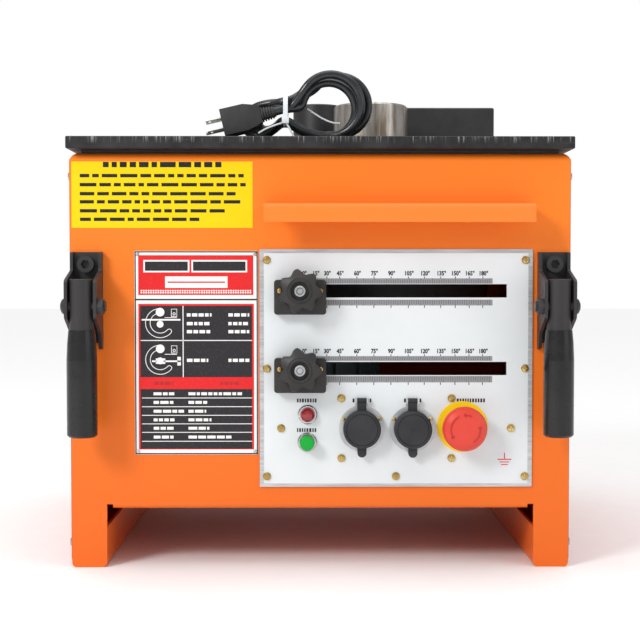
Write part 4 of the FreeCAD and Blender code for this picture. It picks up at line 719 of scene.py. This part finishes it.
# Each ring of the hank from the rear on: middle x and z, radius, how far forward it stands, the
# angle at which its strand leaves for the tie, and the strand's height in the tie.
RINGS = [
    (19.5, 466.0, 30.5, -160.5, 150, 468.0),
    (10.0, 462.8, 31.0, -170.5, 150, 468.0),
    (8.5, 459.6, 27.5, -180.5, 176, 458.5),
    (10.5, 463.0, 30.8, -190.5, 150, 468.0),
]
TIE_X, TIE_Y = -35.0, -178
LOW_ROW = 449.0  # height of the lower strands in the tie
TIE_MIDDLE = 457.5
FIRST_STRAND = -168.0  # how far forward the rearmost strand lies in the tie
STRAND_PITCH = 9.0
FOLD = [
    (-52, 2, 468), (-68, 9, 465), (-79, 19, 455), (-79, 28, 444), (-68, 30, 436), (-52, 20, 439)
]


def hank_points():
    """The tied end of the lead: four rings, with a fold through the tie after all but the last."""
    points = []
    for number, (x, z, radius, y, leave, row) in enumerate(RINGS):
        before = RINGS[number - 1][3] if number else y
        start = -100 if number else -95
        for step in range(13):
            turn = math.radians(start + (leave - start) * step / 12)
            lean = min(1.0, step / 5)
            forward = before + (y - before) * lean
            points.append((x + radius * math.cos(turn), forward, z + radius * math.sin(turn)))
        strand_y = FIRST_STRAND - STRAND_PITCH * number
        if number == len(RINGS) - 1:
            break
        points.append((TIE_X + 6, strand_y, row + 1.5))
        points.append((TIE_X - 4, strand_y, row))
        shrink = 1.0 - 0.16 * number
        for fx, back, fz in FOLD:
            across = TIE_X + (fx - TIE_X) * shrink
            up = TIE_MIDDLE + (fz - TIE_MIDDLE) * shrink
            points.append((across, FIRST_STRAND + back, up))
        points.append((TIE_X - 2, strand_y, LOW_ROW + 1))
        points.append((TIE_X + 12, strand_y, LOW_ROW - 8))
        points.append((TIE_X + 26, strand_y, LOW_ROW - 15))
    points.append((TIE_X + 8, -186, 462))
    points.append((TIE_X - 2, -185, 459))
    points.append((TIE_X - 14, -184, 456))
    return points


def cord():
    route = CORD_ROUTE + hank_points()
    lead = curve_piece("mains_lead", "NURBS", [route], CORD_D / 2, 6, steps=8)
    lead.data.materials.append(CORD_SKIN.material)
    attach(lead, "machine")
    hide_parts("power_cord", "cord_hank")
    return lead


# ---------------------------------------------------------------- plug and tie
PLUG_FACE = (-98.5, -184.0, 444.5)
PLUG_TILT = 13.0
PLUG_HALF = 13.5
RIB_START, RIB_PITCH = 41.0, 2.7
ALONG_X = (0, math.pi / 2, 0)


def laid_plug(piece):
    """Turns a piece modelled along +X from the plug's face to where the plug lies."""
    piece.rotation_euler = Euler((0, math.radians(-PLUG_TILT), 0))
    piece.location = [c * MM for c in PLUG_FACE]
    bpy.context.view_layer.update()
    alone(piece)
    bpy.ops.object.transform_apply(location=True, rotation=True, scale=True)


def plug():
    body = box_piece(0, 24, -PLUG_HALF, PLUG_HALF, -PLUG_HALF, PLUG_HALF)
    for reach, shrink in ((10, 0.80), (6, 0.72)):
        far = max(face.center.x for face in body.data.polygons)
        pick(body, "FACE", lambda face: face.center.x > far - 1e-6 and face.normal.x > 0.9)
        bpy.ops.mesh.extrude_region_move(TRANSFORM_OT_translate={"value": (reach * MM, 0, 0)})
        bpy.ops.transform.resize(value=(1, shrink, shrink), center_override=(0, 0, 0))
        leave_edit()
    pick(body, "FACE", lambda face: abs(face.normal.z) > 0.9 and face.area > 2e-4)
    bpy.ops.mesh.inset(thickness=4.0 * MM, depth=0.0, use_individual=True)
    bpy.ops.mesh.inset(thickness=0.8 * MM, depth=-0.9 * MM, use_individual=True)
    leave_edit()
    soft_edges(body, 2.2, 3)
    collars = [body]
    for i in range(5):
        place = (RIB_START + i * RIB_PITCH, 0, 0)
        rib = disc_piece(7.6 - i * 0.32, 1.7, place, ALONG_X, 24)
        soft_edges(rib, 0.4, 2)
        collars.append(rib)
    core = disc_piece(6.0, 16.5, (46.4, 0, 0), ALONG_X, 24)
    pick(core, "FACE", lambda face: face.normal.x > 0.9)
    bpy.ops.transform.resize(value=(1, 0.85, 0.85), center_override=(0, 0, 0))
    leave_edit()
    collars.append(core)
    whole = joined(collars)
    laid_plug(whole)
    finished(whole, "moulded_plug", "machine", PLUG_SKIN, 40)
    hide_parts("plug_body")
    return whole


def cable_tie():
    """White tie round the strands, its square head, and the cut tails."""
    half_x, half_y, half_z = 2.3, 15.5, 14.0
    sides = (TIE_X - half_x, TIE_X + half_x, TIE_Y - half_y, TIE_Y + half_y)
    loop = box_piece(*sides, TIE_MIDDLE - half_z, TIE_MIDDLE + half_z)
    pick(loop, "FACE", lambda face: abs(face.normal.x) > 0.9)
    bpy.ops.mesh.delete(type="FACE")
    leave_edit()
    pick(loop, "EDGE", lambda a, b: abs(a.x - b.x) > 1e-6)
    bpy.ops.mesh.bevel(offset=9.0 * MM, segments=5, affect="EDGES")
    leave_edit()
    outwards(loop)
    wall = loop.modifiers.new("wall", "SOLIDIFY")
    wall.thickness = 1.3 * MM
    wall.offset = 1.0
    apply_modifiers(loop)
    head = box_piece(TIE_X - 3.6, TIE_X + 3.6, -198.6, -193.2, 443.5, 450.5)
    soft_edges(head, 0.8, 2)
    tails = [
        [
            (-36, -195, 445),
            (-42, -195.5, 443.2),
            (-48, -195.2, 441),
            (-55, -195, 438.5),
            (-62, -195, 434),
        ],
        [(-34, -196, 444), (-31, -196.5, 439), (-28, -197, 433), (-26, -197, 430)],
        [(-13, -176, 461), (-3, -176, 454), (6, -177, 449), (14, -178, 446), (20, -178, 446)],
    ]
    strips = [loop, head]
    for path in tails:
        strips.append(as_mesh(curve_piece("tie_tail", "NURBS", [path], 0.9, 2)))
    return finished(joined(strips), "cable_tie", "machine", NYLON)


camera()
mains_lead = cord()
moulded_plug = plug()
tie = cable_tie()


# ------------------------------------------------ finishes of the machine's own parts
FINISHES = {
    ORANGE: ["front_panel", "rear_panel", "side_walls"],
    HOOD_PAINT: ["panel_hood"],
    # painted shade: the side covers and base tray take the darkened copy of the body's orange
    SHADED_ORANGE: ["side_covers", "base_tray"],
    TABLE: ["worktable_plate"],
    # painted shade: the electrical box inside the body takes blackened steel so the inside looks
    # dark
    BLACK_STEEL: ["table_spacer_frame", "reaction_block", "table_bolts", "electrical_box"],
    COLLAR_STEEL: ["centre_collar"],
    DARK_STEEL: [
        "bending_roller", "turntable_disc", "final_gear", "second_gear_shaft", "first_gear_shaft"
    ],
    BARE_STEEL: ["bending_pin", "main_shaft", "gearbox_bearings", "motor_rotor"],
    CAST: ["gearbox_housing", "gearbox_cover"],
    MOTOR_PAINT: ["motor_housing"],
    BLACK_PLASTIC: [
        "motor_fan",
        "angle_slider_1",
        "angle_slider_2",
        "slider_carrier_1",
        "slider_carrier_2",
        "star_knob_1",
        "star_knob_2",
        "stop_stem",
        "cable_gland",
    ],
    PANEL_WHITE: ["control_panel"],
    ZINC: ["panel_screws"],
    SILVER: ["cover_screws"],
    INK_WHITE: ["rating_plate"],
    RED_LENS: ["lamp_lens"],
    CHROME: ["switch_bezels"],
    DIE_CAST: ["socket_flanges"],
    BLADE: ["plug_blades"],
    GREEN_PLASTIC: ["start_button"],
    RUBBER: ["socket_cap_1", "socket_cap_2"],
    YELLOW_PLASTIC: ["stop_base"],
    RED_PLASTIC: ["stop_head"],
    BRACKET_PAINT: [
        "handle_brackets",
        "bracket_bolts",
        "handle_pivots",
        "lever_front_left",
        "lever_front_right",
        "lever_rear_left",
        "lever_rear_right",
    ],
    VINYL: ["grip_front_left", "grip_front_right", "grip_rear_left", "grip_rear_right"],
}


def dress_nodes():
    for finish, names in FINISHES.items():
        for name in names:
            node = NODES[name]
            if not node.material_slots:
                node.data.materials.append(finish.material)
            for place in node.material_slots:
                place.material = finish.material


dress_nodes()


# ---------------------------------------------------------------- control panel print
# Places of the scale's marks are right of the panel's left edge. A band is the drop to the top and
# the bottom of its upper and its lower strip, then to its numbers.
SCALE_AT = [44.0, 55.4, 66.7, 79.4, 96.5, 113.4, 130.4, 147.6, 163.6, 179.7, 194.1, 208.0, 221.5]
SCALE_START = 23.2
SCALE_END = 231.2
BANDS = ((28.9, 34.1, 50.1, 55.8, 23.6), (106.1, 110.8, 126.0, 132.3, 100.8))


SCALE_PITCH = 2.28
LINE_HALF = 0.28
CAPTIONS = (  # left, right, drop
    (37.0, 56.5, 150.3),
    (37.0, 56.5, 179.8),
    (92.3, 111.0, 150.3),
    (143.5, 162.0, 150.3),
    (196.0, 225.5, 150.3),
)


def scales():
    bands, ticks, fine, labels = [], [], [], []
    for upper_top, upper_low, lower_top, lower_low, number_drop in BANDS:
        for top, low in ((upper_top, upper_low), (lower_top, lower_low)):
            x0, z1 = on_panel(SCALE_START, top)
            x1, z0 = on_panel(SCALE_END, low)
            bands.append((x0, x1, z0, z1))
            count = int((SCALE_END - SCALE_START) / SCALE_PITCH)
            for i in range(1, count):
                x = x0 + i * SCALE_PITCH
                tall = (z1 - z0) * (0.75 if i % 5 else 1.0)
                ends = (z0, z0 + tall) if top == upper_top else (z1 - tall, z1)
                fine.append((x - LINE_HALF, x + LINE_HALF, *ends))
        for i, right in enumerate(SCALE_AT):
            x, z = on_panel(right, upper_top)
            ticks.append((x - 0.4, x + 0.4, z, z + 1.8))
            x, z = on_panel(right, lower_low)
            ticks.append((x - 0.4, x + 0.4, z - 2.6, z))
            x, z = on_panel(right, number_drop)
            labels.append((f"{15 * i}°", x + 0.6, z - 2.3))
    prints("scale_bands", INK_GREY, bands, PANEL_FRONT)
    prints("scale_lines", INK_DARK_GREY, fine, PANEL_FRONT, 2)
    prints("scale_ticks", INK_BLACK, ticks, PANEL_FRONT)
    numbers("scale_numbers", INK_BLACK, labels, PANEL_FRONT)


def caption_bars():
    """Plain dark bars where a control's name would be."""
    bars = []
    for left, right, drop in CAPTIONS:
        for x, width in dashes(left, right, 1.3, 2.4, 0.9, 1.0):
            x0, z = on_panel(x, drop)
            bars.append((x0, x0 + width, z - 1.9, z + 1.9))
    prints("caption_bars", INK_CHARCOAL, bars, PANEL_FRONT)


def earth_mark():
    x, top = on_panel(243.8, 202.5)
    marks = [
        (x - 0.5, x + 0.5, top - 6.4, top),
        (x - 7.0, x + 7.0, top - 7.2, top - 6.2),
        (x - 5.0, x + 5.0, top - 9.8, top - 8.9),
        (x - 3.4, x + 3.4, top - 12.4, top - 11.5),
    ]
    prints("earth_mark", INK_RED, marks, PANEL_FRONT)


# ---------------------------------------------------------------- rating plate print
# All places are right of the plate's left edge and down from its top.
SIGN_RIGHT = 25.4
LINE_DROPS = (146.0, 154.7, 163.3, 171.8, 180.3, 189.2)
# Drop, and the end of the first words.
HEAD_ROWS = ((63.4, 76.4), (72.0, 76.4), (80.0, 76.4), (108.5, 73.0))
LIST_ROWS = (  # drop, end of the first words, end of the second
    (141.8, 40.0, 106.8),
    (150.4, 40.0, 71.8),
    (159.2, 50.0, 70.8),
    (167.8, 40.0, 76.0),
    (176.2, 40.0, 74.0),
    (185.0, 40.0, 97.5),
)


def plate_rect(left, right, top, low):
    x0, z1 = on_plate(left, top)
    x1, z0 = on_plate(right, low)
    return x0, x1, z0, z1


def words(left, right, drop, height, shortest=2.6, longest=7.5):
    """A row of plain bars, as long as a printed line."""
    bars = []
    for x, width in dashes(left, right, shortest, longest, 1.3, 1.2):
        bars.append(plate_rect(x, x + width, drop - height / 2, drop + height / 2))
    return bars


def bending_sign(drop):
    """Pictogram of the bending head: curved slot, block with its hole, and bar."""
    x, z = on_plate(SIGN_RIGHT, drop)
    end = math.radians(318)
    slot = arc_path(x, z, 14.5, 96, 318)
    slot += arc_path(x + 12.2 * math.cos(end), z + 12.2 * math.sin(end), 2.3, -42, 138, 8)
    slot += arc_path(x, z, 9.9, 318, 96)
    corners = ((11.2, 6.6), (16.6, 6.6), (16.6, 13.9), (11.2, 13.9), (11.2, 6.6))
    block = [(x + right, z + up) for right, up in corners]
    hole = arc_path(x + 13.9, z + 9.2, 1.2, 0, 360, 10)
    base = [(x + 4.5, z + 5.4), (x + 16.6, z + 5.4)]
    return [slot, block, hole, base]


def rating_print():
    face = PLATE_FRONT
    outline = [plate_rect(0.3, 122.3, 0.3, 1.5), plate_rect(0.3, 122.3, 201.0, 202.2)]
    outline += [plate_rect(0.3, 1.5, 0.3, 202.2), plate_rect(121.1, 122.3, 0.3, 202.2)]
    outline += [plate_rect(0.8, 121.8, 47.4, 48.9)]
    prints("plate_outline", INK_CHARCOAL, outline, face)
    red = [plate_rect(3.9, 117.9, 4.2, 43.6), plate_rect(3.9, 118.4, 52.4, 197.4)]
    prints("plate_red", INK_RED, red, face)
    black = [plate_rect(5.7, 116.5, 54.4, 125.2), plate_rect(5.7, 116.5, 137.2, 196.6)]
    prints("plate_black", INK_CHARCOAL, black, face, 2)
    white = [
        plate_rect(9.0, 54.6, 8.9, 21.2),
        plate_rect(56.6, 111.8, 8.9, 21.2),
        plate_rect(30.5, 92.3, 25.2, 36.6),
    ]
    for i in range(46):
        for top in (38.6, 40.6):
            white.append(plate_rect(6.2 + i * 2.4, 7.8 + i * 2.4, top, top + 1.4))
    prints("plate_header_white", INK_WHITE, white, face, 2)
    header = [plate_rect(10.6, 53.0, 10.5, 19.6), plate_rect(58.2, 110.2, 10.5, 19.6)]
    prints("plate_header_black", INK_CHARCOAL, header, face, 3)
    prints("plate_header_red", INK_RED, [plate_rect(33.0, 90.0, 30.2, 31.6)], face, 3)
    rules = [plate_rect(47.7, 48.6, 54.4, 125.2), plate_rect(6.0, 116.5, 88.3, 89.2)]
    rules += [plate_rect(7.0, 116.5, drop - 0.35, drop + 0.35) for drop in LINE_DROPS]
    for drop, first_end in HEAD_ROWS:
        rules += words(51.9, first_end, drop, 3.2, 2.8, 6.0)
        rules += words(93.1, 113.8, drop, 3.2, 2.8, 6.0)
    for drop, first_end, second_end in LIST_ROWS:
        rules += words(18.6, first_end, drop, 2.9, 3.0, 9.0)
        rules += words(53.2, second_end, drop, 2.9, 3.0, 9.0)
    for drop, left in ((68.2, 7.2), (109.4, 17.2)):
        rules.append(plate_rect(left, 45.6, drop - 0.8, drop + 0.8))
    rules += [plate_rect(21.0, 30.4, 106.6, 112.0), plate_rect(42.4, 45.8, 105.0, 113.6)]
    prints("plate_lines", INK_WHITE, rules, face, 3)
    dull = words(19.5, 38.0, 131.4, 3.0) + words(85.0, 104.0, 131.4, 3.0)
    prints("plate_strip_words", INK_DULL_RED, dull, face, 2)
    signs = bending_sign(71.5) + bending_sign(107.9)
    strokes("plate_signs", INK_WHITE, signs, 0.75, face, 3)
    dots = []
    for drop in (60.6, 97.0):
        for at, radius in ((drop, 4.3), (drop + 12.0, 3.4)):
            x, z = on_plate(SIGN_RIGHT, at)
            place = (x, face - PAINT_THICK * 3.3, z)
            dot = disc_piece(radius, PAINT_THICK, place, FACING_FRONT, 32)
            soft_edges(dot, 0.02, 1)
            dots.append(dot)
    finished(joined(dots), "plate_discs", "machine", INK_WHITE)


def dome_head(x, front, z, radius, height):
    """Low domed head facing the operator."""
    dome = disc_piece(radius, height, (x, front - height / 2, z), FACING_FRONT, 24)
    pick(dome, "FACE", lambda face: face.normal.y < -0.9)
    bpy.ops.mesh.bevel(offset=height * 0.75 * MM, segments=4, affect="EDGES")
    leave_edit()
    return dome


def rivets():
    heads = []
    for right, drop in ((3.0, 3.0), (119.6, 3.0), (3.0, 199.4), (119.6, 199.4)):
        x, z = on_plate(right, drop)
        heads.append(dome_head(x, PLATE_FRONT, z, 1.9, 1.1))
    finished(joined(heads), "plate_rivets", "machine", SILVER)


# ---------------------------------------------------------------- yellow label
LABEL_LEFT, LABEL_RIGHT, LABEL_LOW = -246.3, -67.2, 338.5
FOLD_START = 404.0  # height where the front sheet's upper fold begins
FOLD_R = 9.0
FILM = 0.12
LABEL_ROWS = (  # height, left, right, thickness
    (401.0, -215.0, -98.0, 5.2),
    (390.1, -238.0, -76.0, 3.3),
    (381.2, -238.0, -74.0, 3.3),
    (372.3, -238.0, -84.0, 3.3),
    (364.3, -238.0, -76.0, 3.3),
    (355.4, -238.0, -92.0, 3.3),
    (347.0, -238.0, -120.0, 3.3),
)


def yellow_label():
    """Film on the front sheet that runs up round its upper fold."""
    alone()
    y = (BODY_FRONT - FILM) * MM
    place = ((LABEL_LEFT + LABEL_RIGHT) / 2 * MM, y, (LABEL_LOW + FOLD_START) / 2 * MM)
    bpy.ops.mesh.primitive_plane_add(size=MM, location=place, rotation=FACING_FRONT)
    label = settle()
    pick(label, "FACE", lambda face: True)
    size = (LABEL_RIGHT - LABEL_LEFT, 1, FOLD_START - LABEL_LOW)
    bpy.ops.transform.resize(value=size, center_override=place)
    leave_edit()
    upper = (FOLD_START - 0.1) * MM
    pick(label, "EDGE", lambda a, b: a.z > upper and b.z > upper)
    centre = (0, (BODY_FRONT + FOLD_R) * MM, FOLD_START * MM)
    bpy.ops.mesh.spin(steps=6, angle=math.radians(-58), center=centre, axis=(1, 0, 0))
    leave_edit()
    pick(label, "VERT", lambda co: co.z > (FOLD_START + 0.5) * MM and co.x < (LABEL_LEFT + 1) * MM)
    bpy.ops.transform.translate(value=(3.6 * MM, 0, 0))
    leave_edit()
    outwards(label)
    wall = label.modifiers.new("film", "SOLIDIFY")
    wall.thickness = FILM * MM
    wall.offset = 0.0
    apply_modifiers(label)
    return finished(label, "yellow_label", "machine", LABEL_YELLOW, 50)


def label_bars():
    bars = []
    for z, left, right, height in LABEL_ROWS:
        for x, width in dashes(left, right, 5.0, 17.0, 3.0, 2):
            bars.append((x, x + width, z - height / 2, z + height / 2))
    prints("label_bars", INK_BLACK, bars, BODY_FRONT - 0.2)


# ------------------------------------------------ small fixings the body's parts don't have
KNOB_DROP = 10.9  # mm from a slider's top to its knob's axis
SOCKETS = ((101.4, 178.0), (151.8, 178.3))  # right of and below the panel's corner


def middle_of(node):
    low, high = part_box(node)
    return [(a + b) / 2 / MM for a, b in zip(low, high)]


def slotted_screw(x, front, z, radius, height, turn):
    """Pan head with a cross recess cut in."""
    head = dome_head(x, front, z, radius, height)
    reach, half = radius * 0.6, 0.22
    for angle in (turn, turn + math.pi / 2):
        outer, inner = front - height - 0.5, front - height * 0.45
        cutter = box_piece(x - reach, x + reach, outer, inner, z - half, z + half)
        cutter.data.transform(turn_about_y(angle, x, z))
        cut = head.modifiers.new("recess", "BOOLEAN")
        cut.operation = "DIFFERENCE"
        cut.object = cutter
        apply_modifiers(head)
        bpy.data.objects.remove(cutter)
    return head


def turn_about_y(angle, x, z):
    there = Matrix.Translation((x * MM, 0, z * MM))
    return there @ Matrix.Rotation(angle, 4, "Y") @ there.inverted()


def slider_screws():
    for number in (1, 2):
        left, right, front, _, _, high = extent(f"angle_slider_{number}")
        z = high - KNOB_DROP
        heads = [
            slotted_screw(left + 5.5, front, z, 2.6, 1.4, 0.5),
            slotted_screw(right - 5.5, front, z, 2.6, 1.4, 1.1),
        ]
        finished(joined(heads), f"slider_screws_{number}", f"stop_slide_{number}", ZINC)


def knob_nuts():
    """Bright sleeve nut round the end of each knob's stud."""
    for number in (1, 2):
        x = middle_of(f"angle_slider_{number}")[0]
        front = extent(f"star_knob_{number}")[2] + 0.9
        z = extent(f"angle_slider_{number}")[5] - KNOB_DROP
        outer = disc_piece(5.3, 2.2, (x, front + 0.9, z), FACING_FRONT, 40)
        pick(outer, "FACE", lambda face: face.normal.y < -0.9)
        bpy.ops.mesh.inset(thickness=0.5 * MM, depth=0.4 * MM)
        bpy.ops.mesh.inset(thickness=1.3 * MM, depth=0.0)
        bpy.ops.mesh.inset(thickness=0.4 * MM, depth=-1.1 * MM)
        leave_edit()
        finished(outer, f"knob_nut_{number}", f"knob_{number}", SILVER)


def socket_screws():
    heads = []
    for right, drop in SOCKETS:
        x, z = on_panel(right, drop)
        for side in (-1, 1):
            heads.append(
                slotted_screw(x + side * 18.4, PANEL_FRONT - 2.5, z + 9.6, 2.0, 1.3, side * 0.6)
            )
    finished(joined(heads), "socket_screws", "machine", ZINC)


def stop_arrows():
    """Raised turn arrows on the emergency stop."""
    x, _, z = middle_of("stop_head")
    front = extent("stop_head")[2]
    ring, barb = 14.2, 2.4
    paths = []
    for start, sweep in ((-58, 70), (118, 96), (66, 30)):
        paths.append(arc_path(x, z, ring, start, start + sweep, 16))
        tip = math.radians(start + sweep)
        px, pz = x + ring * math.cos(tip), z + ring * math.sin(tip)
        for spread in (-0.7, -2.4):
            back = tip + spread
            paths.append([(px, pz), (px + barb * math.cos(back), pz + barb * math.sin(back))])
    routes = [[(px, front + 0.1, pz) for px, pz in path] for path in paths]
    arrows = as_mesh(curve_piece("stop_arrows", "POLY", routes, 0.45, 2))
    finished(arrows, "stop_arrows", "mushroom", STOP_MARK)


scales()
caption_bars()
earth_mark()
rating_print()
rivets()
yellow_label()
label_bars()
slider_screws()
knob_nuts()
socket_screws()
stop_arrows()


# ---------------------------------------------------------------- floor and light
SKY_GIVES = 0.5  # light the white surround gives
SKY_SEEN = 1.0  # brightness it shows to the camera
AIM = (0, 0, 0.25)
AREA_LIGHTS = (
    ("key_light", (-1.5, -1.8, 1.5), 0.7, 34.0), ("fill_light", (1.9, -1.5, 1.0), 1.6, 7.5)
)


def lamp(name, kind, place, power):
    data = bpy.data.lights.new(name, kind)
    data.energy = power
    made = bpy.data.objects.new(name, data)
    made.location = place
    bpy.context.scene.collection.objects.link(made)
    return made


def studio():
    """Pale floor under a white surround, two soft lamps and a broad sun from above."""
    alone()
    bpy.ops.mesh.primitive_plane_add(size=14.0, location=(0, 3.0, 0))
    floor = settle()
    floor.name = "floor"
    pale = Finish("pale_floor", None)
    grain = pale.noise(40.0, 2.0)
    tone = pale.blend(pale.between(grain, 0.3, 0.7), (0.93, 0.93, 0.93), (0.91, 0.91, 0.91))
    pale.close(tone, 0.7)
    floor.data.materials.append(pale.material)
    world = bpy.data.worlds.new("studio")
    world.use_nodes = True
    tree = world.node_tree
    around = tree.nodes["Background"]
    seen = tree.nodes.new("ShaderNodeBackground")
    for background, strength in ((around, SKY_GIVES), (seen, SKY_SEEN)):
        background.inputs["Color"].default_value = (1.0, 1.0, 1.0, 1.0)
        background.inputs["Strength"].default_value = strength
    ray = tree.nodes.new("ShaderNodeLightPath")
    mix = tree.nodes.new("ShaderNodeMixShader")
    for source, target in (
        (ray.outputs["Is Camera Ray"], mix.inputs[0]),
        (around.outputs[0], mix.inputs[1]),
        (seen.outputs[0], mix.inputs[2]),
        (mix.outputs[0], tree.nodes["World Output"].inputs["Surface"]),
    ):
        tree.links.new(source, target)
    bpy.context.scene.world = world
    for name, place, size, power in AREA_LIGHTS:
        light = lamp(name, "AREA", place, power)
        light.data.size = size
        aim = Vector(AIM) - Vector(place)
        light.rotation_euler = aim.to_track_quat("-Z", "Y").to_euler()
    lamp("sky_light", "SUN", (0, 0, 3), 1.7).data.angle = math.radians(70)


studio()
bpy.context.scene.view_settings.view_transform = "Standard"
